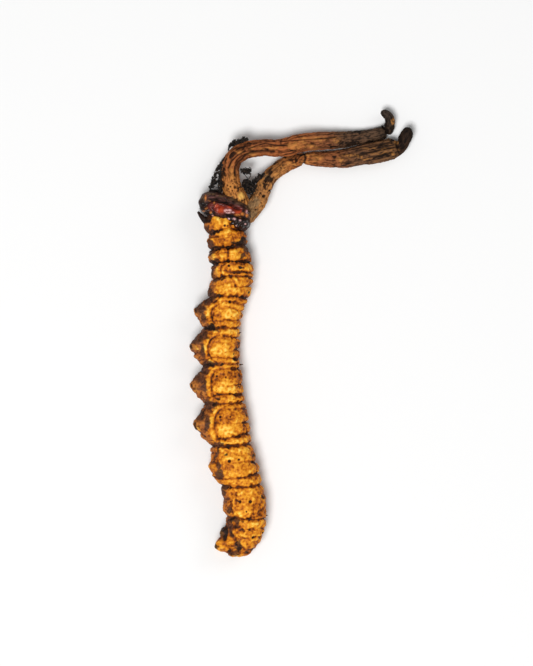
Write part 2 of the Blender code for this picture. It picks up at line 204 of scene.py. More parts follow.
# Shader sockets

def srgb(red, green, blue):
    # a colour as it is read on a screen, from 0 to 255, made linear
    return tuple(((c / 255 + 0.055) / 1.055) ** 2.4 for c in (red, green, blue))


def shades(colours):
    return [srgb(*colour) for colour in colours]


def fillRamp(ramp, stops):
    # stops: place from 0 to 1 and colour from 0 to 255
    while len(ramp.elements) < len(stops):
        ramp.elements.new(1.0)
    for element, (place, colour) in zip(ramp.elements, stops):
        element.position = place
        element.color = (*srgb(*colour), 1)


class Socket:
    # one output of a material's nodes; arithmetic on it adds Math nodes
    def __init__(self, tree, output):
        self.tree = tree
        self.output = output

    def node(self, kind, settings, links, output=0):
        made = self.tree.nodes.new("ShaderNode" + kind)
        for key, value in settings.items():
            if key == "stops":
                fillRamp(made.color_ramp, value)
            else:
                setattr(made, key, value)
        for key, value in links.items():
            if isinstance(value, Socket):
                self.tree.links.new(value.output, made.inputs[key])
            else:
                made.inputs[key].default_value = value
        return Socket(self.tree, made.outputs[output])

    def maths(self, operation, other, turned=False):
        first, second = (other, self) if turned else (self, other)
        return self.node("Math", {"operation": operation}, {0: first, 1: second})

    def __add__(self, other):
        return self.maths("ADD", other)

    def __radd__(self, other):
        return self.maths("ADD", other, True)

    def __sub__(self, other):
        return self.maths("SUBTRACT", other)

    def __rsub__(self, other):
        return self.maths("SUBTRACT", other, True)

    def __mul__(self, other):
        return self.maths("MULTIPLY", other)

    def __rmul__(self, other):
        return self.maths("MULTIPLY", other, True)

    def between(self, low, high):
        # 0 below low, 1 above high, smooth between
        return self.node(
            "MapRange",
            {"interpolation_type": "SMOOTHSTEP"},
            {"Value": self, "From Min": low, "From Max": high},
        )

    def field(self, name):
        # one of the piece's own attributes
        return self.node("Attribute", {"attribute_name": name}, {}, "Fac")

    def stretched(self, scales):
        return self.node("VectorMath", {"operation": "MULTIPLY"}, {0: self, 1: scales})

    def noise(self, size, detail=2.0, roughness=0.5):
        # noise of lumps about size (mm) across, for a socket of coordinates in metres
        links = {"Vector": self, "Scale": 1 / (size * mm), "Detail": detail, "Roughness": roughness}
        return self.node("TexNoise", {}, links)

    def cells(self, size):
        # distance to the nearest of points about size (mm) apart
        return self.node("TexVoronoi", {}, {"Vector": self, "Scale": 1 / (size * mm)}, "Distance")

    def blend(self, first, second):
        # the colour first where this socket is 0, second where it is 1
        colours = [c if isinstance(c, Socket) else (*c, 1) for c in (first, second)]
        return self.node("Mix", {"data_type": "RGBA"}, {0: self, 6: colours[0], 7: colours[1]}, 2)

    def bump(self, distance):
        return self.node("Bump", {}, {"Height": self, "Distance": distance * mm}, "Normal")


def startMaterial(name, **values):
    # a material, its shader and its object coordinates; values are the shader's plain sockets
    made = bpy.data.materials.new(name)
    made.use_nodes = True
    tree = made.node_tree
    shader = tree.nodes["Principled BSDF"]
    for key, value in values.items():
        shader.inputs[key.replace("_", " ")].default_value = value
    place = Socket(tree, tree.nodes.new("ShaderNodeTexCoord").outputs["Object"])
    return made, shader, place


def plug(shader, **sockets):
    for key, value in sockets.items():
        value.tree.links.new(value.output, shader.inputs[key.replace("_", " ")])


# The larva

larva = {
    "segments": 196,
    "ringSpacing": 0.108,
    "neck": (15.0, 15.95, 16.2),
    "tail": -30.2,
    # y, x of the middle, half width (belly to back), half height, height of the middle
    "outline": [
        (16.5, -10.45, 2.58, 2.40, 2.45),
        (15.0, -10.30, 2.78, 2.50, 2.45),
        (13.7, -10.07, 2.74, 2.54, 2.44),
        (12.2, -9.93, 2.76, 2.52, 2.42),
        (10.2, -9.68, 2.92, 2.58, 2.46),
        (8.6, -9.34, 2.93, 2.64, 2.50),
        (5.6, -9.72, 2.96, 2.66, 2.52),
        (2.9, -10.56, 2.74, 2.62, 2.50),
        (-1.6, -11.02, 2.74, 2.60, 2.46),
        (-7.0, -10.72, 2.92, 2.68, 2.54),
        (-11.9, -10.06, 2.98, 2.76, 2.62),
        (-15.1, -9.50, 2.90, 2.72, 2.59),
        (-17.8, -8.97, 3.20, 2.84, 2.70),
        (-20.5, -8.13, 2.96, 2.73, 2.61),
        (-22.5, -7.71, 2.93, 2.70, 2.58),
        (-24.5, -7.51, 2.82, 2.62, 2.50),
        (-26.1, -7.53, 2.72, 2.50, 2.42),
        (-27.5, -7.72, 2.50, 2.30, 2.34),
        (-28.8, -8.12, 2.00, 1.90, 2.24),
        (-29.6, -8.45, 1.55, 1.45, 2.16),
        (-30.0, -8.62, 1.30, 1.15, 2.13),
        (-30.2, -8.75, 0.66, 0.52, 2.10),
    ],
    # creases: y on the back, side and belly, and depth there
    "folds": [
        ((13.6, 14.2, 13.3), (0.28, 0.40, 0.36)),
        ((12.8, 12.9, 12.8), (0.20, 0.06, 0.24)),
        ((11.9, 11.7, 11.3), (0.28, 0.46, 0.50)),
        ((11.1, 10.9, 10.8), (0.12, 0.06, 0.16)),
        ((9.5, 9.8, 9.2), (0.30, 0.46, 0.42)),
        ((8.2, 8.3, 8.6), (0.28, 0.24, 0.12)),
        ((7.4, 7.8, 7.3), (0.24, 0.32, 0.42)),
        ((6.4, 6.3, 6.5), (0.36, 0.06, 0.10)),
        ((4.7, 5.0, 4.9), (0.20, 0.30, 0.44)),
        ((3.8, 4.3, 4.1), (0.14, 0.16, 0.04)),
        ((2.85, 3.6, 3.5), (0.28, 0.06, 0.00)),
        ((1.8, 1.7, 1.6), (0.24, 0.22, 0.04)),
        ((0.7, 0.7, 0.8), (0.30, 0.32, 0.50)),
        ((-0.6, -0.2, 0.2), (0.32, 0.16, 0.04)),
        ((-2.2, -2.5, -2.4), (0.24, 0.06, 0.00)),
        ((-3.5, -3.2, -3.7), (0.24, 0.30, 0.28)),
        ((-4.2, -4.1, -4.4), (0.20, 0.26, 0.48)),
        ((-4.75, -4.8, -5.0), (0.28, 0.16, 0.20)),
        ((-6.8, -7.1, -7.0), (0.24, 0.06, 0.00)),
        ((-8.2, -8.2, -8.7), (0.24, 0.36, 0.20)),
        ((-9.3, -9.4, -9.5), (0.42, 0.32, 0.32)),
        ((-10.2, -10.1, -10.0), (0.16, 0.04, 0.20)),
        ((-11.9, -12.1, -12.0), (0.26, 0.06, 0.00)),
        ((-13.4, -14.0, -14.4), (0.28, 0.36, 0.14)),
        ((-14.9, -15.1, -15.2), (0.28, 0.32, 0.36)),
        ((-16.1, -16.1, -16.1), (0.00, 0.04, 0.16)),
        ((-17.3, -17.3, -17.3), (0.24, 0.04, 0.18)),
        ((-18.8, -19.5, -19.4), (0.26, 0.30, 0.08)),
        ((-20.3, -20.7, -20.5), (0.28, 0.36, 0.40)),
        ((-22.3, -22.3, -22.3), (0.00, 0.05, 0.18)),
        ((-25.0, -25.0, -24.6), (0.26, 0.36, 0.36)),
        ((-26.3, -26.2, -26.0), (0.16, 0.18, 0.08)),
        ((-27.3, -27.5, -27.7), (0.24, 0.08, 0.00)),
    ],
    # reach of a crease's round shoulders and of its cleft, and how much the cleft adds to its depth
    "foldShoulder": 0.75,
    "foldWidth": 0.12,
    "cleftShare": 0.26,
    # how many times deeper a crease is on the back, and the deepest cut as a share of the half width
    "backDepth": 1.70,
    "deepestCut": 0.3,
    # how far creases wander, slowly and in small ticks
    "foldWander": 0.16,
    "foldTicks": 0.07,
    "skinOffset": -0.07,
    "highest": 5.66,
    # round the neck the skin tucks in: depth and reach
    "neckTuck": (0.55, 0.42),
    # how blunt the lobes' tips are, and how hollow their slopes
    "lobeBlunt": 0.22,
    "lobeSlope": 1.08,
    # relief of the skin: lump size and height, and how much the noise is stretched in x, y and z
    "relief": [(0.45, 0.05, (0.7, 1.0, 0.7)), (0.80, 0.15, (1, 1, 1)), (0.36, 0.07, (1, 1, 1))],
    # height of a pit's rim, how many times wider it is than the pit, and the pit's depth
    "pitRim": (0.05, 2),
    "pitDepth": 0.22,
    # the skin's tone from 0 to 1: its middle, and what each thing adds
    "tone": {
        # painted light: the ridges and the highest swellings lift the tone; painted shade: the creases and
        # the back lower it
        "middle": 0.555, "amberAndLit": 0.17, "tan": -0.15, "ridges": 0.02, "folds": -0.11, "foldsDrift": -0.08,
        "back": -0.10, "thorax": -0.10, "tail": -0.06,
    },
    # how brown the belly is along the body: y and share
    "bellyBrown": [
        (16.5, 0.95), (6.0, 0.85), (3.0, 1.0), (-13.5, 1.0), (-15.5, 0.55), (-20.0, 0.55), (-24.5, 0.75),
        (-27.5, 0.25), (-30.2, 0.45),
    ],
    # prolegs, stumps and lobes: y of the tip, angle from the back, rise, reach to the head and to the
    # tail, half breadth round the body
    "lobes": [
        (3.1, 153, 1.74, 1.55, 1.75, 1.45),
        (-1.75, 153, 1.80, 1.90, 1.60, 1.45),
        (-7.0, 153, 1.92, 1.85, 2.00, 1.45),
        (-12.25, 153, 2.10, 2.00, 2.30, 1.50),
        (1.75, 160, 0.55, 0.85, 0.80, 1.05),
        (-3.0, 160, 1.00, 0.70, 1.00, 1.15),
        (-8.3, 160, 0.75, 0.80, 0.95, 1.05),
        (-13.75, 160, 1.30, 0.90, 1.15, 1.25),
        (-10.5, 160, 0.60, 0.50, 0.70, 0.95),
        (14.3, 158, 0.45, 1.30, 1.00, 1.00),
        (12.35, 148, 0.50, 0.65, 0.65, 0.75),
        (10.3, 148, 0.50, 0.70, 0.70, 0.80),
        (8.1, 148, 0.40, 0.65, 0.65, 0.75),
        (5.8, 152, 0.25, 0.90, 0.90, 1.00),
        (-18.05, 152, 0.90, 0.95, 1.60, 1.40),
        (-19.3, 154, 0.72, 1.00, 1.15, 1.20),
        (-23.5, 152, 0.45, 0.80, 1.10, 1.20),
        (-27.07, 157, 1.12, 1.45, 1.90, 0.85),
        (-28.85, 157, 1.95, 2.30, 0.85, 1.25),
    ],
    # swellings of the side, in pixels of the photograph: u, v, radii, then rise in millimetres
    "pillows": [
        ((217.5, 223, 4.5, 6.5), 0.26),
        ((226, 221.5, 3.4, 5), 0.22),
        ((208.5, 226, 3, 4.5), 0.14),
        ((227, 236, 8, 8), 0.26),
        ((212.5, 241, 3.4, 3.2), 0.24),
        ((240, 236, 5, 4), 0.12),
        ((234, 255, 6.5, 6), 0.24),
        ((222.8, 256, 3.4, 5), 0.22),
        ((214.5, 257, 3.4, 3.6), 0.26),
        ((245, 255, 4, 6), 0.10),
        ((218, 271, 2.8, 4.5), 0.20),
        ((248, 268, 4.5, 4), 0.16),
        ((228.6, 510, 2.8, 4.5), 0.12),
        ((223, 543, 6, 4), 0.16),
        ((233, 289, 14, 7), 0.16),
        ((229, 313, 13, 9), 0.18),
        ((222, 349, 12, 10), 0.22),
        ((224, 385, 13, 10), 0.20),
        ((226, 424, 14, 13), 0.16),
        ((230, 470, 12, 10), 0.12),
        ((240, 505, 10, 12), 0.14),
        ((254, 525, 9, 6), 0.14),
    ],
    # lines of the photograph: pixels, half width and depth or rise in millimetres
    "grooves": [
        ([(219, 304), (213, 308.5), (211.2, 314), (212.6, 321), (216, 325)], 0.14, 0.14),
        ([(217, 335), (210.5, 340), (208, 346), (208.4, 353), (212, 359), (216, 362)], 0.14, 0.16),
        ([(215, 371), (211.5, 377), (211.2, 385), (212.3, 392), (215.5, 398)], 0.14, 0.12),
        ([(220.5, 409), (216.1, 414), (214.6, 421), (215.2, 428), (217.4, 436)], 0.14, 0.12),
        ([(189, 353.4), (198, 354.4)], 0.15, 0.26),
        ([(190, 393.6), (197, 394.4)], 0.15, 0.20),
        ([(193, 318.6), (199, 317.6)], 0.14, 0.14),
        ([(236.4, 492), (236, 499), (236.8, 505)], 0.14, 0.05),
        ([(231, 501), (231.2, 508), (233, 514)], 0.16, 0.08),
        ([(226, 526), (227.4, 532), (225, 538.5)], 0.20, 0.24),
        ([(235.4, 538), (234.6, 545), (229, 551)], 0.20, 0.16),
        ([(229, 551), (233, 551.5), (239, 550)], 0.16, 0.12),
        ([(236, 540), (238.5, 546), (240, 553)], 0.22, 0.14),
        ([(238, 535.4), (244, 537.4)], 0.10, 0.10),
        ([(249, 529.5), (253, 530.5), (257, 529)], 0.12, 0.08),
        ([(253.7, 501), (253.4, 512), (254.5, 518)], 0.14, 0.05),
        ([(228, 248), (228.5, 262)], 0.18, 0.16),
        ([(222, 214), (228, 219), (231, 226)], 0.20, 0.16),
        ([(225, 264), (221, 267), (221, 275)], 0.14, 0.14),
        ([(226, 294), (220, 297), (214, 303)], 0.16, 0.14),
        ([(229, 275), (234, 281), (236, 287)], 0.13, 0.10),
    ],
    "ridges": [
        ([(219.5, 301.5), (212.8, 304.4), (209, 309), (208, 314), (209.4, 320), (213, 325)], 0.26, 0.12),
        ([(216, 332.5), (209.5, 338), (206.5, 345), (205.5, 352), (207, 358), (211, 361)], 0.32, 0.15),
        ([(213.5, 369), (209.5, 375), (208, 383), (208.5, 391), (211, 398)], 0.34, 0.15),
        ([(219, 407.4), (215, 412.7), (212.8, 420), (211.4, 427), (212.4, 434),
          (214.3, 440)], 0.30, 0.14),
        ([(228, 264), (223.5, 267), (223, 274)], 0.20, 0.12),
        ([(233, 275), (238, 283), (239, 287)], 0.22, 0.05),
        ([(234.2, 498.5), (233.2, 508), (237.5, 512), (241, 516)], 0.16, 0.09),
        ([(245, 488), (242, 492), (239, 494.5)], 0.18, 0.06),
        ([(229, 228.5), (227.5, 236), (226, 243)], 0.22, 0.09),
        ([(218.5, 218.5), (221, 223), (223, 227)], 0.18, 0.09),
        ([(233.5, 531.5), (239, 528), (243, 526.8), (246.6, 529.5), (245, 533.5),
          (240.5, 533.8)], 0.15, 0.10),
        ([(236, 534.8), (243, 534.6), (249, 537), (255, 534.2), (261, 535)], 0.15, 0.10),
        ([(250, 536.5), (252, 540), (256, 539), (257, 535.5)], 0.14, 0.08),
        ([(245, 544), (247, 548), (249.5, 552)], 0.20, 0.07),
    ],
    # breathing holes and pits: u, v and radius in pixels
    "pits": [
        (230, 302, 1.5), (217, 376, 1.1), (226, 377, 0.9), (220.5, 416.5, 1.3), (230.5, 416.5, 0.9),
        (229.5, 460.5, 1.7), (239, 459, 1.2), (250.5, 501, 1.7), (240, 501, 1.6), (246.5, 511, 0.9),
        (240.5, 268, 1.6), (229, 266, 1.2), (253, 537, 1.3), (218, 232, 1.8), (225, 226, 1.2),
    ],
}

# Stains and painted light, in pixels of the photograph: u, v, radius across and down. They lie on both
# flanks.
larvaStains = {
    # dark brown: the narrow places between the prolegs, and each proleg's side towards the head
    "brown": [
        (207, 217, 6, 6), (211, 232, 7, 2.6), (211, 247.5, 5, 3.5), (211, 252, 4.5, 5),
        (213, 262.5, 7, 3.5), (212, 279, 7, 3), (211, 297, 6.5, 4), (208, 301, 6, 3.5),
        (200, 309, 7, 6.5), (204, 318, 4, 5), (210, 328, 7.5, 4), (203, 335, 6, 5), (198, 340, 7, 5.5),
        (203, 352, 2.6, 6), (210, 363.5, 7, 4), (205, 370, 5, 5), (199, 377, 6, 5.5),
        (204.5, 385, 2.6, 8), (210, 404, 8, 4.5), (201, 416, 6, 5.5), (207.5, 424, 2.6, 7),
        (217, 444, 6, 3), (218, 450, 2, 4), (220.5, 471, 2.6, 4), (225, 487, 5, 3), (224, 492, 3, 4),
        (232, 520, 8, 3.4), (230, 527, 4, 5), (237, 522, 3, 4), (234, 553, 7, 3), (238, 545, 3, 6),
        (232, 534, 2.4, 4), (222, 533, 4.5, 7), (219.5, 474, 4, 4.5), (215, 455, 2, 3), (218, 466, 2, 3),
        (240, 243, 8, 3.4), (209, 244, 4, 3), (209, 269, 5, 5), (207, 291, 4, 5), (242, 256, 3, 3),
        (246, 250, 5, 4), (243, 246, 6, 2.6), (210, 273, 4, 6), (206, 229, 3, 4), (229, 509, 2.4, 4),
        (239.6, 501, 1.8, 1.2), (240.5, 268, 2.2, 1.7),
    ],
    # softer brown mottling on the pillows' upper left, the back and the tail
    "tan": [
        (214, 340, 5, 4.5), (216, 377, 5, 5), (217, 414, 4.5, 5), (215, 318, 4, 5), (222, 278, 5, 3),
        (240.5, 268, 4, 2.5), (227, 266, 4, 2.5), (252, 467, 6, 2.6), (243, 427, 4, 3),
        (236, 323, 3.5, 2), (238, 387, 3.5, 2), (246, 256, 6, 8), (222, 241, 5, 3), (259, 510, 5.5, 9),
        (228, 493, 6, 5), (243, 233, 5, 4.5), (246, 282, 4, 2), (244, 293, 4, 4), (238, 302, 5, 2),
        (237, 347, 3, 8), (239, 375, 3, 7), (246, 410, 3, 8), (254, 450, 4, 6), (238, 438, 6, 2),
        (250, 550, 7, 5), (221, 541, 5, 5), (240, 530, 3, 3), (228, 466, 4, 4), (244, 489, 7, 3),
        (214, 453, 4, 6), (213, 468, 5, 8), (225, 497, 4, 8), (228, 524, 5, 6), (204, 430, 5, 6),
        (226, 249, 9, 3), (232, 262, 8, 2), (209, 226, 4, 5), (222, 411, 8, 3), (228, 374, 9, 3.5),
        (225, 541, 7, 5), (229, 546, 5, 4), (248, 547, 6, 6), (216, 464, 5, 9), (234, 527, 6, 6),
        (240, 234, 7, 3.5), (232, 507, 3, 8), (222, 479, 5, 4), (228, 503, 3, 8), (229, 300, 9, 3),
        (243.5, 530, 2, 2), (231, 417, 6, 3),
    ],
    # near black: pits' rims, notches, streaks and tips
    "black": [
        (249.5, 293, 1.6, 1.6), (241.3, 316, 1.4, 1.8), (239, 345, 1.6, 2), (241.5, 378, 1.5, 2),
        (246.5, 416, 1.6, 2.2), (254.5, 456, 1.7, 2), (264.3, 496, 1.9, 2.2), (263, 532.8, 2.2, 2.2),
        (235, 350, 1.8, 1.3), (217.5, 232, 4, 1.8), (223.8, 530, 3.6, 5), (223.4, 536, 3.2, 4),
        (215.8, 546, 2.6, 4), (238, 549, 2.2, 2.4), (236, 543.5, 0.9, 4), (191.8, 386, 2.0, 3.6),
        (191.8, 346, 2.0, 3.8), (195.6, 426, 1.8, 3.8), (195, 311, 1.6, 3), (205, 436, 2.2, 1.6),
        (204, 413, 3, 2.2), (243, 521, 2.2, 1.2), (234, 244, 3, 1.6), (240, 242, 5, 3.2),
        (244.5, 240, 3, 2.4), (201, 322, 1.5, 1.2), (213, 474, 2, 1.4), (213, 325.5, 2.4, 1.8),
        (219.5, 365, 2.5, 1.5), (210, 328, 8, 2.6), (209, 364.6, 7, 2.4), (219, 399.5, 3, 1.8),
        (216, 404, 4, 2), (228, 446, 3, 1.2), (225, 453, 1.4, 1.6), (232, 519, 4, 1.6), (204, 216, 5, 3),
        (207, 220, 3, 2.5), (216, 248, 6, 1.8), (215, 263, 5, 1.8), (221, 278.5, 4, 1.3),
        (219, 296, 3, 1.4), (211, 263, 3, 2.4), (230, 551.8, 1.2, 1), (231.5, 556, 1.6, 1),
        (240, 554, 1.5, 1.2), (217, 391, 0.8, 0.8), (201.5, 394, 0.9, 0.8), (197, 392, 1.4, 0.9),
        (198, 358, 1.8, 1), (237, 367, 1.4, 1), (260, 519, 1.6, 1), (231, 543.7, 1.0, 0.8),
        (225.6, 544.5, 0.7, 0.5), (223.5, 548.5, 0.8, 0.6), (221.5, 218, 1, 2), (227, 226.5, 2, 1.2),
        (233.5, 260.5, 2, 0.9), (228, 261, 3, 0.9), (253, 536.3, 1.3, 0.8), (214.8, 257, 0.7, 0.9),
        (212, 250, 1.5, 2), (247, 262, 3, 1), (249, 247, 1.4, 2), (209, 283, 1.6, 2), (240, 387, 1.8, 1),
        (211, 234.5, 1.4, 1), (235, 409.5, 0.9, 0.7), (233, 353, 0.9, 0.7), (222, 424, 0.7, 0.6),
    ],
    # bright orange-yellow: painted light on the swellings that stand highest, and the flaps beside the
    # prolegs, which are lighter in colour
    "amberAndLit": [
        (218, 222, 3.5, 4.5), (226, 221, 2.4, 3.5), (226, 238, 4, 6), (232, 232, 4, 4),
        (234, 255, 4.5, 4.5), (240, 268.5, 9, 2.4), (248, 268, 3, 2.4), (233, 289, 11, 5.5),
        (223, 256, 1.6, 3), (218, 270, 1.5, 2.6), (229, 313, 8, 5.5), (223, 351, 9, 5), (226, 388, 9, 5),
        (225, 431, 9, 6), (229, 478, 7, 4.5), (255, 523, 8, 3), (246, 508, 4, 6), (232, 401, 6, 2),
        (236, 442, 9, 1.8), (230, 458, 5, 2.5), (248, 541, 7, 2.6), (236, 362, 6, 2), (231, 330, 8, 1.7),
        (241, 492, 5, 2.4), (241, 451, 7, 2), (222, 303, 4, 2), (237, 314, 3, 6), (196, 348, 2.4, 2.2),
        (197, 388, 2.4, 2.2), (200, 428, 3.6, 3), (222, 548, 5, 1.6), (219.4, 534, 0.9, 4),
        (213.3, 241, 1.8, 1.6), (214.5, 257, 1.9, 2), (223.5, 271, 1.2, 3.5), (209.5, 226, 1.4, 2.6),
        (234, 503, 1.4, 5), (240, 513, 3, 2), (244, 536, 8, 1.6), (237, 531, 3, 1.6),
    ],
}
# Spines on the back's edge: foot and tip in pixels, then the foot's radius in millimetres
larvaSpines = {
    "spines": [
        ((239.6, 364.8), (243.2, 364.2), 0.11), ((264.6, 515.6), (268.0, 515.0), 0.12),
        ((238.8, 333.4), (241.2, 332.2), 0.12), ((263.2, 512.6), (266.6, 511.2), 0.10),
    ],
    "height": 2.75,
    "tipRise": 0.1,
    "tipShare": 0.3,
    "sides": 8,
}

# The thin front legs, one mirrored from the other across the height mirrorAt, in millimetres
frontLeg = {
    "foot": (-12.70, 15.05, 3.20),
    "tip": (-13.98, 16.42, 3.60),
    "radii": (0.52, 0.42, 0.28, 0.14),
    "bend": (-0.05, -0.08, 0.1),
    "mirrorAt": 2.45,
    "sides": 14,
}



def roundTheBody(three, cosine):
    # a value given on the back, side and belly, read at the cosine of the angle from the back
    back, side, belly = three
    return side + (back - belly) / 2 * cosine + ((back + belly) / 2 - side) * cosine**2


def larvaStations():
    # y of each ring on the back, side and belly: rings follow the slanted creases
    ends = larva["tail"]
    creases = [larva["neck"]] + [places for places, _ in larva["folds"]] + [(ends, ends, ends)]
    rings = []
    for first, last in zip(creases, creases[1:]):
        steps = max(2, round((first[1] - last[1]) / larva["ringSpacing"]))
        for k in range(steps):
            share = k / steps
            rings.append([a + (b - a) * share for a, b in zip(first, last)])
    return np.array(rings + [list(creases[-1])])


def foldCut(y, cosine):
    # how deep the creases lie under the outline: round shoulders, then a narrow cleft
    cut = np.zeros_like(y)
    for places, depths in larva["folds"]:
        away = np.abs(y - roundTheBody(places, cosine))
        depth = np.maximum(roundTheBody(depths, cosine), 0)
        depth = depth * (1 + (larva["backDepth"] - 1) * np.clip(cosine, 0, 1))
        shoulder = 1 - np.sqrt(1 - np.clip(1 - away / larva["foldShoulder"], 0, 1) ** 2)
        cleft = np.exp(-((away / larva["foldWidth"]) ** 1.3))
        cut += depth * (shoulder + larva["cleftShare"] * cleft)
    return cut


def foldShade(y, cosine):
    # painted shade beside each crease, from 0 to 1; fullDepth is the depth that darkens it fully
    fullDepth = 0.34
    reach = 0.30
    shade = np.zeros_like(y)
    for places, depths in larva["folds"]:
        away = np.abs(y - roundTheBody(places, cosine))
        depth = np.maximum(roundTheBody(depths, cosine), 0)
        shade = np.maximum(shade, np.clip(depth / fullDepth, 0, 1) * np.exp(-((away / reach) ** 1.3)))
    return shade


def lobeRise(y, angle, halfWidth):
    # prolegs and lobes as blunt cones, one on each flank
    rise = np.zeros_like(y)
    blunt = larva["lobeBlunt"]
    for tip, middle, height, toHead, toTail, breadth in larva["lobes"]:
        along = (y - tip) / np.where(y > tip, toHead, toTail)
        for side in (middle, 360 - middle):
            turn = (angle - math.radians(side) + math.pi) % (2 * math.pi) - math.pi
            away = np.hypot(along, turn * halfWidth / breadth)
            cone = np.clip(1 + blunt - np.hypot(away, blunt), 0, 1)
            rise = np.maximum(rise, height * cone ** larva["lobeSlope"])
    return rise


def larvaGrid():
    stations = larvaStations()
    angle = np.arange(larva["segments"]) / larva["segments"] * 2 * math.pi
    angle = np.broadcast_to(angle, (len(stations), larva["segments"]))
    cosine = np.cos(angle)
    y = roundTheBody(stations.T[:, :, None], cosine)
    table = np.array(larva["outline"])
    middle, halfWidth, halfHeight, height = (smoothRead(y, table[:, 0], table[:, k]) for k in range(1, 5))
    rough = np.stack([middle + halfWidth * cosine, y, height + halfHeight * np.sin(angle)], axis=-1)
    wander = larva["foldWander"] * noiseAt(rough, 1.7, 2, seed=1)
    wander = wander + larva["foldTicks"] * noiseAt(rough, 0.42, 1, seed=2)
    lobes = lobeRise(y + 0.5 * wander, angle, halfWidth)
    out = lobes - np.minimum(foldCut(y + wander, cosine), larva["deepestCut"] * halfWidth)
    x = middle + (halfWidth + out) * cosine
    z = height + (halfHeight + out) * np.sin(angle)
    neck = roundTheBody(larva["neck"], cosine)
    depth, reach = larva["neckTuck"]
    tuck = depth * np.exp(-(((neck - y) / reach) ** 2))
    grid = np.stack([x - tuck * cosine, y, z - tuck * np.sin(angle)], axis=-1)
    return grid, foldShade(y + wander, cosine), cosine


def larvaSurface(grid):
    # the fine relief: swellings, grooves, flaps, pits, wrinkles round the body, lumps and grain
    rise = np.full(grid.shape[:2], larva["skinOffset"])
    for spot, height in larva["pillows"]:
        rise += height * nearSpot(grid, spot)
    for line, width, depth in larva["grooves"]:
        rise -= depth * nearLine(grid, line, width) * (0.65 + 0.5 * noiseAt(grid, 0.9, 1, seed=6))
    for line, width, height in larva["ridges"]:
        rise += height * nearLine(grid, line, width)
    rimHeight, wider = larva["pitRim"]
    for u, v, radius in larva["pits"]:
        rise += rimHeight * nearSpot(grid, (u, v, radius * wider, radius * wider))
        rise -= larva["pitDepth"] * nearSpot(grid, (u, v, radius, radius))
    for seed, (size, height, stretch) in enumerate(larva["relief"], 3):
        rise += height * noiseAt(grid * stretch, size, 2, seed)
    grid = grid + rise[..., None] * gridNormals(grid)
    grid[..., 2] = np.clip(grid[..., 2], 0, larva["highest"])
    return grid


def larvaFields(grid, folds, cosine):
    # what the skin's colour follows; the stains' edges wander
    normals = gridNormals(grid)
    drift = np.stack([noiseAt(grid, 1.1, 3, seed=seed) for seed in (7, 8)], axis=-1)
    ragged = grid[..., :2] + 0.42 * drift
    stain = {name: most([nearSpot(ragged, spot) for spot in spots]) for name, spots in larvaStains.items()}
    ridges = most([nearLine(ragged, line, width) for line, width, _ in larva["ridges"]])
    # painted shade: the grooves' lines are darkened
    grooves = most([nearLine(grid, line, width * 0.8) for line, width, _ in larva["grooves"]])
    grooves *= np.clip(0.75 + 0.8 * noiseAt(grid, 0.7, 1, seed=9), 0.2, 1)
    pits = most([nearSpot(grid, (u, v, r * 1.15, r * 1.15)) for u, v, r in larva["pits"]])
    brownAt, brownShare = np.array(larva["bellyBrown"]).T
    belly = smoothStep(-cosine, 0.46, 0.86) * smoothRead(grid[..., 1], brownAt, brownShare)
    # painted shade: the skin goes darker along the back, where the body turns away
    back = smoothStep(cosine, 0.62, 1.0)
    thorax = smoothStep(grid[..., 1], 7.5, 9.5)
    tail = smoothStep(-grid[..., 1], 22.0, 27.0)
    share = larva["tone"]
    # painted light on the raised ridges, and painted shade beside the creases
    tone = share["middle"] + share["ridges"] * ridges + folds * share["folds"]
    tone += folds * share["foldsDrift"] * np.clip(drift[..., 0] * 2, -1, 1)
    # painted light on the highest swellings, with the flaps' lighter colour; the tan stains darken
    tone += share["amberAndLit"] * stain["amberAndLit"] + share["tan"] * stain["tan"]
    tone += share["back"] * back + share["thorax"] * thorax + share["tail"] * tail
    return {
        "tone": tone,
        # fine and wide: how hollow the skin is, for painted shade in its hollows and creases
        "fine": hollowness(grid, normals, 2, 0.025),
        "wide": hollowness(grid, normals, 18, 0.20),
        "belly": np.clip(belly - 0.60 * stain["amberAndLit"] - 0.42 * ridges, 0, 1),
        "brown": stain["brown"],
        "black": np.maximum(stain["black"], pits),
        "groove": grooves,
    }


def addTaper(bm, points, radii, sides):
    # a thin tapered tube through points, closed at both ends: circles, bridged one to the next
    points = [Vector(p) for p in points]
    rings = []
    for k, (point, radius) in enumerate(zip(points, radii)):
        ahead = points[min(k + 1, len(points) - 1)] - points[max(k - 1, 0)]
        turn = Vector((0, 0, 1)).rotation_difference(ahead).to_matrix().to_4x4()
        place = Matrix.Translation(point) @ turn
        made = bmesh.ops.create_circle(bm, cap_ends=False, segments=sides, radius=radius, matrix=place)
        rings.append(made["verts"])
    faces = []
    for a, b in zip(rings, rings[1:]):
        edges = {e for v in a + b for e in v.link_edges if e.other_vert(v) in a or e.other_vert(v) in b}
        edges = [e for e in edges if all(v in a for v in e.verts) or all(v in b for v in e.verts)]
        faces += bmesh.ops.bridge_loops(bm, edges=edges)["faces"]
    for ring in (rings[0], rings[-1]):
        rim = list({e for v in ring for e in v.link_edges if e.is_boundary})
        caps = bmesh.ops.holes_fill(bm, edges=rim, sides=sides)["faces"]
        bmesh.ops.poke(bm, faces=caps)
    return [v for ring in rings for v in ring]


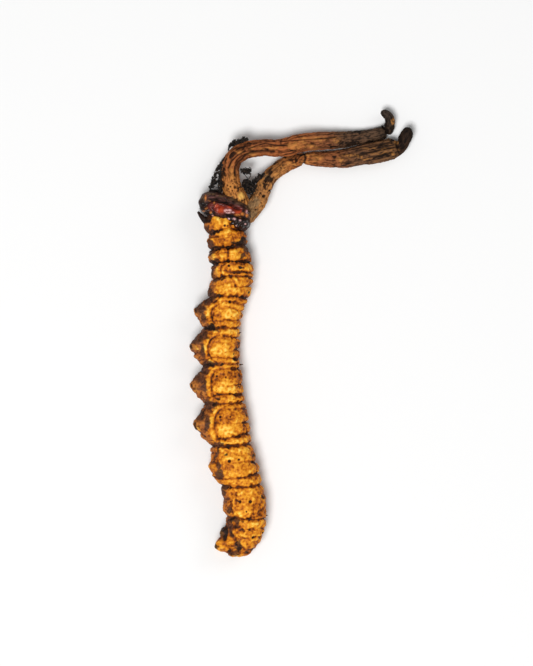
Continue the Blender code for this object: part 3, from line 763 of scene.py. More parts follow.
def makeLarva():
    grid, folds, cosine = larvaGrid()
    grid = larvaSurface(grid)
    bm = gridToBmesh(grid, larvaFields(grid, folds, cosine))
    dark = bm.verts.layers.float["black"]
    brown = bm.verts.layers.float["brown"]
    middle = frontLeg["mirrorAt"]
    bendX, bendY, bendZ = frontLeg["bend"]
    for side in (1, -1):
        ends = (frontLeg["foot"], frontLeg["tip"])
        foot, tip = [Vector((x, y, middle + side * (z - middle))) for x, y, z in ends]
        bend = Vector((bendX, bendY, bendZ * side))
        points = [foot.lerp(tip, k / 3) + bend * math.sin(math.pi * k / 3) for k in range(4)]
        for vert in addTaper(bm, points, frontLeg["radii"], frontLeg["sides"]):
            vert[dark] = 1.0
            vert[brown] = 1.0
    low = larvaSpines["height"]
    high = low + larvaSpines["tipRise"]
    for footPixel, tipPixel, radius in larvaSpines["spines"]:
        points = [(*fromPhoto(*footPixel), low), (*fromPhoto(*tipPixel), high)]
        for vert in addTaper(bm, points, (radius, radius * larvaSpines["tipShare"]), larvaSpines["sides"]):
            vert[brown] = 1.0
    bmesh.ops.recalc_face_normals(bm, faces=bm.faces)
    return finishPiece("larvaSkin", bm, larvaMaterial(), "larva_body")


larvaColours = {
    # tones of the skin: place from 0 to 1 and colour
    "skin": [
        (0.00, (34, 14, 4)), (0.14, (72, 33, 7)), (0.30, (132, 65, 13)), (0.44, (180, 98, 19)),
        (0.57, (211, 126, 26)), (0.70, (232, 152, 37)), (0.84, (248, 184, 62)), (1.00, (255, 214, 106)),
    ],
    # dark and light patches of the belly and of the brown stains
    "belly": ((70, 38, 25), (178, 102, 48)),
    "brown": ((40, 23, 16), (104, 62, 42)),
    # cleft: painted shade laid in the deep hollows and creases
    "cleft": (46, 22, 8),
    "black": (30, 18, 13),
}


def larvaMaterial():
    made, shader, place = startMaterial("dried larva skin", Specular_IOR_Level=0.13)
    cloud = place.noise(1.6, 3, 0.55)
    grain = place.noise(0.38, 4, 0.62)
    blot = place.noise(0.60, 4, 0.68)
    fine = place.field("fine")
    wide = place.field("wide")
    pores = place.cells(0.52).between(0.26, 0.10) * place.noise(1.5, 2).between(0.48, 0.60)
    tone = place.field("tone") + (cloud - 0.5) * 0.72 + (grain - 0.5) * 0.62
    # painted shade: darker in the fine and wide hollows and in the grooves
    tone = tone - fine * 0.10 - wide * 0.20 - pores * 0.20 - place.field("groove") * 0.20
    colour = tone.node("ValToRGB", {"stops": larvaColours["skin"]}, {"Fac": tone}, "Color")
    # the belly's brown, then the brown stains, painted shade in the deep hollows and creases, and the black
    # spots
    belly = (place.field("belly") + (blot - 0.5) * 1.2).between(0.25, 0.85)
    # painted shade: the belly too goes darker in fine hollows
    bellyTone = (grain * 0.5 + cloud * 0.5 - fine * 0.06).between(0.36, 0.62)
    colour = (belly * 0.88).blend(colour, bellyTone.blend(*shades(larvaColours["belly"])))
    brown = (place.field("brown") + (blot - 0.5) * 1.1).between(0.16, 0.72)
    brownTone = (grain * 0.5 + blot * 0.5).between(0.40, 0.64)
    colour = (brown * 0.92).blend(colour, brownTone.blend(*shades(larvaColours["brown"])))
    colour = (wide.between(0.50, 1.30) * 0.55).blend(colour, srgb(*larvaColours["cleft"]))
    black = (place.field("black") + (blot - 0.5) * 0.9).between(0.28, 0.80)
    colour = (black * 0.92).blend(colour, srgb(*larvaColours["black"]))
    height = grain * 0.7 + place.noise(0.14, 2) * 0.35
    roughness = 0.45 + 0.4 * grain.between(0.35, 0.7)
    plug(shader, Base_Color=colour, Roughness=roughness, Normal=height.bump(0.09))
    return made


# The head shell

head = {
    # middle, half sizes, tilt in degrees, squareness from above, fullness from the side, subdivisions
    "shells": [
        ((-10.25, 16.84, 2.60), (3.66, 1.80, 2.50), -22.0, 2.5, 3.2, 7),
        ((-8.42, 15.12, 3.12), (1.55, 1.10, 1.86), -30.0, 2.3, 2.4, 6),
    ],
    # swellings: middle, radius and rise in millimetres
    "lumps": [
        ((-12.7, 17.6, 4.0), 1.2, 0.12), ((-12.7, 17.6, 1.2), 1.2, 0.12), ((-8.0, 15.5, 1.2), 1.4, 0.30),
    ],
    # lines of the photograph: pixels, half width and rise in millimetres
    "lines": [
        ([(202, 203), (206, 197.5), (213, 196), (224, 199), (238, 205), (247, 212)], 0.30, 0.24),
        ([(205, 206.5), (210, 200.8), (217, 200.3), (229, 204.5), (239, 210)], 0.17, -0.30),
        ([(213, 203.4), (222, 203.8), (231, 208)], 0.13, 0.10),
        ([(202.5, 208), (206, 212), (213, 215)], 0.18, 0.12),
        ([(222, 210), (230, 211.5), (237, 214.5)], 0.26, 0.16),
        ([(215, 204), (212.5, 209), (215, 214)], 0.12, -0.10),
        ([(244, 207), (244.6, 216)], 0.14, -0.20),
        ([(227, 215.5), (235, 217), (245, 218)], 0.16, -0.24),
    ],
    # how far round the first line the striped rim reaches
    "rimReach": 0.55,
    # fibres of the rim: lump size, and how the noise is stretched along, across and up
    "rimFibres": (0.24, (0.25, 1.0, 0.6)),
    # glossy black lumps, most at the lower right: u, v, radius in pixels, rise in millimetres
    "beads": [
        (229.3, 219.6, 2.2, 0.26), (234.6, 219.8, 2.8, 0.30), (239.8, 221.4, 2.5, 0.28),
        (244.8, 221.2, 2.3, 0.24), (231.8, 224.2, 2.3, 0.26), (236.8, 225.4, 2.5, 0.28),
        (241.8, 226.2, 2.3, 0.24), (246.6, 225, 2.2, 0.20), (235.2, 229, 1.8, 0.20),
        (240, 229.6, 1.8, 0.18), (246.8, 212.6, 1.6, 0.22), (208, 211, 1.5, 0.16), (204, 205, 1.8, 0.18),
        (213, 213.5, 1.5, 0.14), (202.5, 209, 1.6, 0.16), (206.5, 213, 1.5, 0.14),
    ],
    # stains in pixels of the photograph: u, v, radius across and down
    "red": [
        (214.5, 207.4, 6, 4.6), (221, 209.4, 6, 5), (229, 209.4, 7, 4), (238, 210.4, 5, 3.2),
        (246.5, 212.5, 2, 3),
    ],
    # glow: brighter orange-red: painted light in the middle of the red dome, and orange colour beside it
    "glow": [
        (220.6, 210.6, 4, 3.4), (216.5, 206.4, 2.6, 1.7), (238, 212.4, 3.8, 2), (231, 207.4, 3.4, 1.2),
    ],
    # pale: painted highlights, the glints on the beads and the light streak across the red dome
    "pale": [
        (226.2, 211.2, 2.0, 1.5), (229.8, 210.8, 2.0, 1.2), (228.4, 213.2, 2.4, 0.8),
        (233.4, 212.8, 1.4, 0.7), (247, 212.4, 0.8, 1.8), (234.4, 219.4, 1.5, 1.2),
        (229, 219.2, 1.1, 0.9), (240.2, 220.8, 1.2, 0.9), (212.8, 216, 0.8, 0.8),
        (245.4, 224.4, 0.9, 0.7), (236.4, 226.2, 0.7, 0.6),
    ],
    "ochre": [
        (206.3, 208.6, 1.3, 1.2), (203, 211.4, 2.2, 0.7), (205.8, 198, 0.8, 3.0), (243, 214.5, 2.2, 1.6),
        (214.5, 203.6, 0.8, 1.6), (237.6, 215.6, 3.0, 1.2), (211, 213, 1.1, 1.1),
        (209.6, 201.4, 1.6, 0.7), (247, 216, 1.4, 1.6), (240.4, 218, 1.2, 0.6),
    ],
    "mud": [
        (241, 202.5, 5, 2.4), (212, 194.3, 5, 1.0), (224, 196.3, 6, 1.2), (233, 199.6, 5, 1.4),
        (248.5, 207, 3.4, 4), (250, 214, 2, 5), (203, 200, 2.6, 3.4), (201.6, 207, 1.4, 3),
    ],
    "soot": [
        (202, 205, 3.4, 7), (206, 214, 6, 2.2), (243, 212, 1.4, 2.4), (224, 203, 9, 0.8),
        (232, 216.2, 6, 1.2),
    ],
}


def shellPoints(co, shell):
    # a unit ball's points as a squarish egg, and the way out of it at each point
    centre, sizes, degrees, squareness, fullness, _ = shell
    around = (np.abs(co[:, 0]) ** squareness + np.abs(co[:, 1]) ** squareness) ** (1 / squareness)
    reach = (around**fullness + np.abs(co[:, 2]) ** fullness) ** (1 / fullness)
    tilt = np.array(Matrix.Rotation(math.radians(degrees), 3, "Z"))
    egg = (co / reach[:, None] * sizes) @ tilt.T
    return egg + centre, egg / np.linalg.norm(egg, axis=1, keepdims=True)


def addField(bm, name, values):
    layer = bm.verts.layers.float.new(name)
    for vert, value in zip(bm.verts, values.tolist()):
        vert[layer] = value


def makeHead():
    bm = bmesh.new()
    places = []
    outward = []
    for shell in head["shells"]:
        ball = bmesh.ops.create_icosphere(bm, subdivisions=shell[5], radius=1)["verts"]
        egg, out = shellPoints(np.array([v.co for v in ball]), shell)
        places.append(egg)
        outward.append(out)
    co = np.concatenate(places)
    outward = np.concatenate(outward)
    rise = np.zeros(len(co))
    for centre, radius, height in head["lumps"]:
        away = np.linalg.norm(co - centre, axis=1) / radius
        rise += height * np.exp(-away * away)
    for line, width, height in head["lines"]:
        rise += height * nearLine(co, line, width)
    beads = most([height * nearSpot(co, (u, v, radius, radius)) for u, v, radius, height in head["beads"]])
    rim = nearLine(co, head["lines"][0][0], head["rimReach"])
    size, stretch = head["rimFibres"]
    tilt = head["shells"][0][2]
    fibres = noiseAt(co @ np.array(Matrix.Rotation(math.radians(tilt), 3, "Z")) * stretch, size, 2, seed=13)
    rise += beads + 0.12 * noiseAt(co, 0.8, 2, seed=11) + 0.03 * noiseAt(co, 0.28, 2, seed=12)
    rise += 0.06 * fibres * rim
    co = co + outward * rise[:, None]
    co[:, 2] = np.maximum(co[:, 2], 0)
    for vert, place in zip(bm.verts, co.tolist()):
        vert.co = place
    for name in ("red", "glow", "pale", "ochre", "mud", "soot"):
        addField(bm, name, most([nearSpot(co, spot) for spot in head[name]]))
    addField(bm, "bead", np.clip(beads / 0.12, 0, 1))
    addField(bm, "rim", rim)
    # the cut lines are painted dark, as shade in them
    cuts = [(line, width) for line, width, rise in head["lines"] if rise < 0]
    addField(bm, "groove", most([nearLine(co, line, width) for line, width in cuts]))
    bmesh.ops.recalc_face_normals(bm, faces=bm.faces)
    return finishPiece("headShell", bm, headMaterial(), "head_shell")


headColours = {
    "shell": ((24, 13, 11), (78, 44, 34)),
    "rim": (118, 74, 70),
    "red": (108, 25, 13),
    "glow": (176, 62, 24),
    "mud": (106, 82, 56),
    "bead": (26, 14, 11),
    "soot": (20, 13, 11),
    "ochre": (206, 124, 56),
    # painted shade for the cut lines
    "groove": (16, 8, 7),
    # painted highlight colour for the glints and the light streak
    "pale": (240, 186, 182),
}


def headMaterial():
    made, shader, place = startMaterial(
        "head shell lacquer", Specular_IOR_Level=0.12, Coat_Roughness=0.11, Coat_IOR=1.5
    )
    grain = place.noise(0.4, 4, 0.65)
    fleck = place.noise(0.3, 3)
    streak = place.stretched((0.4, 1.0, 0.8)).noise(0.28, 4, 0.65)
    bead = place.field("bead")
    red = place.field("red") * place.noise(0.8, 3).between(0.14, 0.38)
    soot = (place.field("soot") + (grain - 0.5) * 0.8).between(0.30, 0.80)
    # painted highlights, broken up by the fleck noise
    pale = place.field("pale") * fleck.between(0.32, 0.50)
    # each share lays its colour over the ones before it; the last two are painted shade in the cut lines
    # and painted highlights
    layers = [
        ("rim", place.field("rim") * streak.between(0.46, 0.64) * 0.90),
        ("red", red),
        ("glow", place.field("glow") * place.noise(0.5, 3).between(0.32, 0.54)),
        ("mud", place.field("mud") * place.noise(0.35, 3).between(0.34, 0.54)),
        ("bead", bead * 0.9),
        ("soot", soot * 0.8),
        ("ochre", place.field("ochre") * fleck.between(0.30, 0.48)),
        ("groove", place.field("groove") * 0.75),
        ("pale", pale * 0.88),
    ]
    colour = grain.between(0.38, 0.66).blend(*shades(headColours["shell"]))
    for name, share in layers:
        colour = share.blend(colour, srgb(*headColours[name]))
    gloss = (bead * 0.6).maths("MAXIMUM", red * 0.2).maths("MAXIMUM", pale * 0.6) * (1 - soot * 0.8)
    height = grain * 0.5 + streak * 0.5
    roughness = 0.60 - 0.25 * gloss
    plug(shader, Base_Color=colour, Roughness=roughness, Coat_Weight=gloss, Normal=height.bump(0.04))
    return made


# The stalks

stalks = {
    "left": {
        "node": "stalk_left",
        "rings": 340,
        "segments": 116,
        # x, y, z of the middle, half width seen from above, half height
        "rows": [
            (-8.95, 16.60, 2.85, 1.70, 1.10), (-8.85, 17.60, 2.95, 1.78, 1.32),
            (-9.00, 18.50, 2.97, 1.56, 1.28), (-9.28, 19.30, 2.97, 1.38, 1.22),
            (-9.68, 21.20, 3.05, 1.32, 1.16), (-9.55, 22.65, 3.05, 1.24, 1.12),
            (-9.00, 23.75, 3.05, 1.20, 1.10), (-7.90, 24.55, 3.00, 1.17, 1.08),
            (-6.40, 24.95, 2.92, 1.14, 1.06), (-4.80, 25.10, 2.82, 1.12, 1.05),
            (-3.30, 25.00, 2.74, 1.14, 1.05), (-1.95, 25.15, 2.64, 1.24, 1.04),
            (-0.50, 25.65, 2.46, 1.23, 1.02), (1.40, 25.92, 2.14, 1.20, 1.00),
            (3.60, 26.07, 1.70, 1.18, 0.99), (5.90, 26.25, 1.28, 1.08, 0.97),
            (7.90, 26.52, 0.98, 0.96, 0.95), (9.90, 26.90, 0.88, 0.85, 0.88),
            (11.10, 27.25, 0.90, 0.87, 0.83), (11.72, 27.65, 0.98, 0.78, 0.74),
            (11.92, 28.20, 1.12, 0.69, 0.66), (11.98, 28.80, 1.30, 0.65, 0.61),
            (11.75, 29.36, 1.46, 0.62, 0.57), (11.32, 29.72, 1.58, 0.56, 0.52),
            (10.98, 29.84, 1.63, 0.44, 0.42), (10.72, 29.90, 1.66, 0.18, 0.18),
        ],
        # long furrows: degrees round from the side that faces the other stalk, from and to along,
        # width, depth
        "furrows": [
            (60, 0.05, 0.40, 0.10, 0.12), (100, 0.14, 0.50, 0.10, 0.08), (138, 0.10, 0.60, 0.09, 0.10),
            (30, 0.45, 0.90, 0.14, 0.14), (75, 0.50, 0.80, 0.08, 0.08), (96, 0.50, 0.72, 0.07, 0.07),
            (240, 0.0, 0.88, 0.16, 0.20), (300, 0.0, 0.88, 0.14, 0.16),
        ],
        # lines and spots in pixels of the photograph, as on the larva
        "grooves": [
            ([(383, 126), (386.5, 129), (388, 134), (389.5, 138.5)], 0.20, 0.40),
            ([(280, 141.5), (292, 140.7), (306, 140), (322, 138.5), (336, 137)], 0.10, 0.14),
            ([(235, 176), (236, 167), (240, 161.8), (246, 155.6), (252.5, 152.4), (262, 151.2),
              (274, 151.8)], 0.14, 0.16),
            ([(228.5, 168), (232, 161), (238, 155.6), (245, 151.5)], 0.12, 0.14),
            ([(236, 150.5), (240, 147.4), (245, 146)], 0.12, 0.12),
            ([(248.6, 149.3), (256, 146), (265, 143.4), (274, 145), (287, 146)], 0.09, 0.12),
        ],
        "pits": [
            (235.2, 187.6, 1.5), (230.5, 187, 0.9), (228.4, 189.2, 0.8), (232.5, 191, 0.7),
            (227.6, 185.8, 0.7), (233, 184, 0.6), (237.6, 191.2, 0.8),
        ],
        # dark: black stains and the tip, and painted shadow along the lower edge and under the part that
        # lies close to the other stalk
        "dark": [
            (221.5, 186, 2.8, 8), (221.5, 174, 2.6, 8), (224.5, 163, 2.4, 5), (239.8, 188.6, 1.6, 3),
            (231.5, 155, 3, 3), (236, 200, 2, 2.4), (242, 147.5, 3, 1.2), (267, 149.6, 3, 1.2),
            (291, 150.5, 4, 1.4), (352, 143.8, 14, 2.8), (372, 141.4, 12, 1.8), (334, 146.2, 8, 1.2),
            (387.5, 132, 2.6, 5), (387, 124.5, 2.6, 3), (383.5, 112.5, 2, 2), (362, 132, 10, 1.2),
            (252, 143.5, 6, 1.0), (284, 141, 4, 1.4), (341, 141, 3, 1.4), (243, 201, 2, 1.6),
            (386, 137, 4, 1.6),
        ],
        "light": [
            (241, 197, 3.8, 4.6), (231, 187.5, 5.5, 4.5), (228.5, 195.5, 6, 1.8), (233, 178, 4, 5),
            (294, 146, 8, 3.6), (303, 141, 5, 4), (318, 139, 9, 3), (311, 147, 7, 2), (239, 152, 4, 2),
            (252, 154, 5, 1.6), (336, 140, 4, 2), (394, 121, 1.0, 3.4), (232, 170, 2, 5),
            (256, 149, 6, 1.4), (274, 148, 8, 1.4),
        ],
        "mud": [(217, 193.2, 4, 1.2), (228, 197.5, 8, 1.0)],
        "shine": [(241, 196.6, 2.4, 3.2)],
    },
    "right": {
        "node": "stalk_right",
        "rings": 310,
        "segments": 124,
        "rows": [
            (-7.75, 15.00, 2.45, 0.55, 0.80), (-7.30, 15.75, 2.45, 1.00, 1.15),
            (-6.72, 16.70, 2.50, 1.18, 1.30), (-5.98, 17.90, 2.48, 1.22, 1.25),
            (-5.38, 19.10, 2.34, 1.12, 1.18), (-4.90, 20.20, 2.14, 1.10, 1.10),
            (-4.30, 21.15, 1.95, 1.02, 1.05), (-3.25, 22.10, 1.75, 1.02, 1.00),
            (-2.15, 22.80, 1.56, 1.04, 0.98), (-1.00, 23.25, 1.36, 0.92, 0.90),
            (0.20, 23.68, 1.16, 0.76, 0.78), (1.45, 23.64, 1.05, 0.94, 0.90),
            (3.20, 23.58, 1.04, 1.06, 1.00), (5.20, 23.62, 1.10, 1.18, 1.10),
            (6.85, 23.86, 1.20, 1.30, 1.20), (8.20, 24.14, 1.28, 1.35, 1.29),
            (9.90, 24.46, 1.33, 1.45, 1.35), (11.40, 24.78, 1.33, 1.46, 1.35),
            (12.25, 24.98, 1.33, 1.42, 1.28), (12.80, 25.13, 1.34, 1.18, 1.05),
            (13.20, 25.32, 1.38, 1.00, 0.88), (13.65, 25.80, 1.46, 0.90, 0.82),
            (14.03, 26.48, 1.60, 0.87, 0.80), (14.33, 27.10, 1.74, 0.80, 0.74),
            (14.57, 27.50, 1.84, 0.60, 0.57), (14.76, 27.72, 1.88, 0.20, 0.22),
        ],
        "furrows": [
            (66, 0.66, 0.86, 0.09, 0.15), (94, 0.60, 0.87, 0.10, 0.18), (122, 0.64, 0.87, 0.09, 0.15),
            (45, 0.70, 0.86, 0.08, 0.12), (148, 0.58, 0.80, 0.09, 0.10), (110, 0.20, 0.40, 0.14, 0.10),
            (230, 0.0, 0.88, 0.16, 0.20), (290, 0.0, 0.88, 0.14, 0.16),
        ],
        "grooves": [
            ([(397, 138.5), (396.5, 143), (398, 148), (399, 152.5)], 0.15, 0.30),
            ([(304.5, 153), (305.5, 158), (303.5, 164)], 0.14, 0.16),
            ([(297, 160), (300, 156), (303, 154)], 0.12, 0.12),
            ([(352, 149), (367, 146), (379, 143.8), (391, 141.6)], 0.09, 0.10),
            ([(372, 149.6), (384, 146.8), (394, 144.4)], 0.08, 0.10),
            ([(356, 154.6), (369, 152.2), (381, 150.5), (394, 147.6)], 0.08, 0.10),
            ([(374, 158.4), (383, 156), (392, 152.8)], 0.15, 0.14),
            ([(244.4, 201.6), (248, 198), (252.4, 194.4)], 0.16, 0.14),
        ],
        "pits": [
            (263.8, 196.4, 1.6), (260.5, 193, 0.9), (270, 190.5, 1.1), (266, 181.5, 1.1), (261, 203, 0.8),
            (258, 197, 0.7), (256, 210, 0.8), (268, 176, 0.8), (281, 168, 0.8), (296, 158, 1.0),
        ],
        # dark: stains and the black tip, and painted shadow along the upper edge beside and under the left
        # stalk
        "dark": [
            (263.8, 196.4, 2.6, 2.2), (264, 186, 2.4, 4), (268, 179, 5, 4), (270, 172, 4, 3),
            (275, 162.5, 5, 1.8), (284, 157.5, 6, 1.4), (291, 154.5, 5, 1.4), (300, 153.6, 4, 1.4),
            (296, 160, 4, 2), (305.5, 159, 1.2, 2.6), (246, 200, 3, 2), (270, 191, 1.6, 2),
            (330, 152.5, 10, 1.2), (345, 163.8, 8, 0.8), (380, 145.8, 10, 1.2), (383, 156, 8, 2.0),
            (392, 141.5, 3, 2.4), (372, 150, 9, 1.2), (400, 140, 3, 8), (314, 162, 6, 1.0),
            (333, 157, 7, 1.2), (273, 184, 1.2, 3), (402, 146, 3, 4),
        ],
        "light": [
            (261.6, 183, 1.2, 4.5), (266, 190.8, 2.6, 1.0), (262, 205, 3.6, 5), (270, 186, 1.6, 4),
            (282, 168, 4.5, 2.6), (309, 155, 4.5, 2.2), (306, 162, 4, 1.6), (296, 164.5, 6, 1.2),
            (277, 175, 3, 2), (318, 158, 6, 2.6), (341, 160, 5, 1.6), (368, 148.2, 7, 1.0),
            (396.5, 141.4, 1.3, 2), (398.6, 149.6, 1.2, 1.6), (364, 158, 8, 1.2),
            (393.6, 152.6, 1.4, 1.2), (386, 149.6, 8, 0.8), (381, 154.2, 9, 0.8), (352, 156, 9, 1.6),
            (288, 163, 4, 2.4),
        ],
        "mud": [(249, 205, 7, 5), (252, 213, 5, 6), (256, 203, 4, 6), (268, 177, 4, 3)],
        "shine": [],
    },
}


# What the two stalks share: how far furrows wander, heights of the relief in millimetres, and the share
# of the length over which the pitted foot turns fibrous, and over which a furrow fades in and out
stalkSkin = {
    "wander": 0.22,
    "fibres": 0.06,
    "hairs": 0.03,
    "mottleAtFoot": 0.11,
    "mottleLost": 0.05,
    "warts": 0.03,
    "swellings": 0.12,
    "pits": 0.24,
    "turnsFibrous": (0.10, 0.26),
    "furrowFades": 0.04,
}


def stalkGrid(one):
    table = np.array(one["rows"])
    steps = np.hypot(*np.diff(table[:, :2], axis=0).T)
    run = np.concatenate([[0], np.cumsum(steps)])
    share = np.linspace(0, 1, one["rings"])
    share = share - 0.35 * np.sin(2 * math.pi * share) / (2 * math.pi)
    at = (share * run[-1])[:, None]
    angle = (np.arange(one["segments"]) / one["segments"] * 2 * math.pi)[None, :]
    x, y, z, halfWidth, halfHeight = (smoothRead(at, run, column) for column in table.T)
    step = 0.05
    ahead = [smoothRead(np.minimum(at + step, run[-1]), run, table[:, k]) for k in (0, 1)]
    behind = [smoothRead(np.maximum(at - step, 0), run, table[:, k]) for k in (0, 1)]
    way = np.array(ahead) - np.array(behind)
    way /= np.hypot(*way)
    across = halfWidth * np.cos(angle)
    grid = np.stack([x + way[1] * across, y - way[0] * across, z + halfHeight * np.sin(angle)], axis=-1)
    round3d = np.broadcast_arrays(np.cos(angle) * halfWidth, np.sin(angle) * halfHeight, at)
    return grid, np.stack(round3d, axis=-1), np.broadcast_to(at / run[-1], grid.shape[:2]), angle


def stalkSurface(one, seed):
    grid, flat, share, angle = stalkGrid(one)
    wander = stalkSkin["wander"] * noiseAt(flat * (0.3, 0.3, 1.0), 2.6, 2, seed=seed)
    furrows = np.zeros(grid.shape[:2])
    fades = stalkSkin["furrowFades"]
    for middle, start, stop, width, depth in one["furrows"]:
        turn = (angle + wander - math.radians(middle) + math.pi) % (2 * math.pi) - math.pi
        starts = smoothStep(share, start - fades, start + fades)
        shown = starts * (1 - smoothStep(share, stop - fades, stop + fades))
        furrows += depth * shown * np.exp(-((np.abs(turn) / width) ** 1.4))
    furrows *= 0.8 + 0.7 * noiseAt(flat * (1.0, 1.0, 0.35), 1.1, 1, seed=seed + 5)
    # the foot is pitted and lumpy, the rest is fibrous
    drawn = smoothStep(share, *stalkSkin["turnsFibrous"])
    fibres = drawn * noiseAt(flat * (1.0, 1.0, 0.13), 0.40, 2, seed=seed + 1)
    hairs = noiseAt(flat * (1.0, 1.0, 0.22), 0.17, 2, seed=seed + 2)
    mottle = noiseAt(flat * (1.0, 1.0, 0.7), 0.42, 3, seed=seed + 3)
    warts = noiseAt(flat, 0.22, 1, seed=seed + 4)
    full = smoothStep(share, 0.0, 0.03) * (1 - smoothStep(share, 0.96, 1.0))
    rise = stalkSkin["fibres"] * fibres + stalkSkin["hairs"] * hairs + stalkSkin["warts"] * warts
    rise += (stalkSkin["mottleAtFoot"] - stalkSkin["mottleLost"] * drawn) * mottle
    rise = full * rise - furrows
    for line, width, depth in one["grooves"]:
        rise -= depth * nearLine(grid, line, width)
    pits = most([nearSpot(grid, (u, v, r, r)) for u, v, r in one["pits"]])
    grooves = most([nearLine(grid, line, width) for line, width, _ in one["grooves"]])
    rise += stalkSkin["swellings"] * most([nearSpot(grid, spot) for spot in one["light"]])
    rise -= stalkSkin["pits"] * pits
    drift = np.stack([noiseAt(grid, 0.8, 3, seed=seed + k) for k in (6, 7)], axis=-1)
    ragged = grid[..., :2] + 0.35 * drift
    grid = grid + rise[..., None] * gridNormals(grid)
    grid[..., 2] = np.maximum(grid[..., 2], 0)
    normals = gridNormals(grid)
    return grid, {
        # fine, wide, furrow and pit carry painted shade in the stalk's hollows
        "fine": hollowness(grid, normals, 2, 0.02),
        "wide": hollowness(grid, normals, 10, 0.12),
        "along": share,
        "fibre": np.clip(0.5 + 0.42 * fibres + 0.45 * hairs + 0.28 * mottle, 0, 1),
        "furrow": np.clip(furrows / 0.14, 0, 1),
        "dark": most([nearSpot(ragged, spot) for spot in one["dark"]]),
        "light": most([nearSpot(ragged, spot) for spot in one["light"]]),
        "mud": most([nearSpot(ragged, spot) for spot in one["mud"]]),
        "shine": most([nearSpot(ragged, spot) for spot in one["shine"]] + [np.zeros(share.shape)]),
        "pit": np.maximum(pits, grooves),
    }


def makeStalk(side, seed):
    one = stalks[side]
    grid, fields = stalkSurface(one, seed)
    bm = gridToBmesh(grid, fields)
    material = stalkMaterial(side)
    return finishPiece(side + "Stalk", bm, material, one["node"])


stalkColours = {
    # along the stalk: place from 0 to 1, dark colour and light colour of the fibres
    "left": [
        (0.00, (112, 66, 28), (208, 140, 72)), (0.10, (100, 58, 27), (194, 124, 62)),
        (0.20, (80, 42, 20), (168, 98, 54)), (0.36, (76, 40, 21), (160, 92, 51)),
        (0.50, (88, 46, 22), (176, 100, 54)), (0.62, (72, 41, 24), (150, 90, 55)),
        (0.72, (42, 30, 22), (104, 74, 53)), (0.84, (34, 26, 20), (92, 69, 52)),
        (0.90, (18, 14, 12), (66, 50, 38)), (1.00, (18, 15, 14), (66, 55, 48)),
    ],
    "right": [
        (0.00, (88, 62, 38), (178, 124, 72)), (0.25, (96, 62, 36), (180, 120, 66)),
        (0.42, (76, 42, 21), (170, 100, 50)), (0.56, (70, 39, 23), (146, 87, 51)),
        (0.70, (48, 33, 25), (122, 83, 56)), (0.86, (40, 28, 21), (124, 86, 55)),
        (0.895, (18, 12, 9), (60, 41, 28)), (1.00, (12, 8, 7), (40, 30, 23)),
    ],
    "swelling": (218, 148, 74),
    "shine": (240, 188, 96),
    "mud": ((78, 62, 44), (142, 114, 80)),
    # dark: the black stains and tips, and painted shadow where the stalks cross
    "dark": (22, 14, 10),
    # furrow, cleft and pit: painted shade in the furrows, hollows, pits and grooves
    "furrow": (32, 19, 11),
    "cleft": (24, 14, 9),
    "pit": (24, 15, 11),
}


def stalkMaterial(side):
    made, shader, place = startMaterial(side + " stalk fibre", Specular_IOR_Level=0.08)
    along = place.field("along")
    stops = stalkColours[side]
    deep, light = shades(stops[0][1:])
    for (start, _, _), (stop, nextDark, nextLight) in zip(stops, stops[1:]):
        step = along.between(start, stop)
        deep = step.blend(deep, srgb(*nextDark))
        light = step.blend(light, srgb(*nextLight))
    grain = place.noise(0.30, 4, 0.66)
    cloud = place.noise(1.3, 3, 0.55)
    # painted shade: the fibres go darker in the fine hollows
    fibre = place.field("fibre") * 0.55 + grain * 0.45 + (cloud - 0.5) * 0.6 - place.field("fine") * 0.12
    colour = fibre.between(0.24, 0.78).blend(deep, light)
    swelling = place.field("light") * place.noise(0.5, 3).between(0.32, 0.56)
    colour = (swelling * 0.55).blend(colour, srgb(*stalkColours["swelling"]))
    colour = (place.field("shine") * 0.85).blend(colour, srgb(*stalkColours["shine"]))
    mud = (place.field("mud") + (grain - 0.5) * 0.8).between(0.25, 0.80)
    colour = (mud * 0.75).blend(colour, grain.between(0.36, 0.64).blend(*shades(stalkColours["mud"])))
    # black stains and tips, and painted shadow under and beside the other stalk
    dark = (place.field("dark") + (fibre - 0.5) * -1.2).between(0.26, 0.80)
    colour = (dark * 0.88).blend(colour, srgb(*stalkColours["dark"]))
    # painted shade in the furrows, the wide hollows, the pits and the grooves
    colour = (place.field("furrow") * (1.4 * fibre)).blend(colour, srgb(*stalkColours["furrow"]))
    colour = (place.field("wide").between(0.2, 1.1) * 0.65).blend(colour, srgb(*stalkColours["cleft"]))
    colour = (place.field("pit") * 0.80).blend(colour, srgb(*stalkColours["pit"]))
    height = grain * 0.7 + place.noise(0.12, 2) * 0.3
    plug(shader, Base_Color=colour, Roughness=0.55 + 0.3 * grain, Normal=height.bump(0.07))
    return made


# Soil and rootlets stuck to the stalks

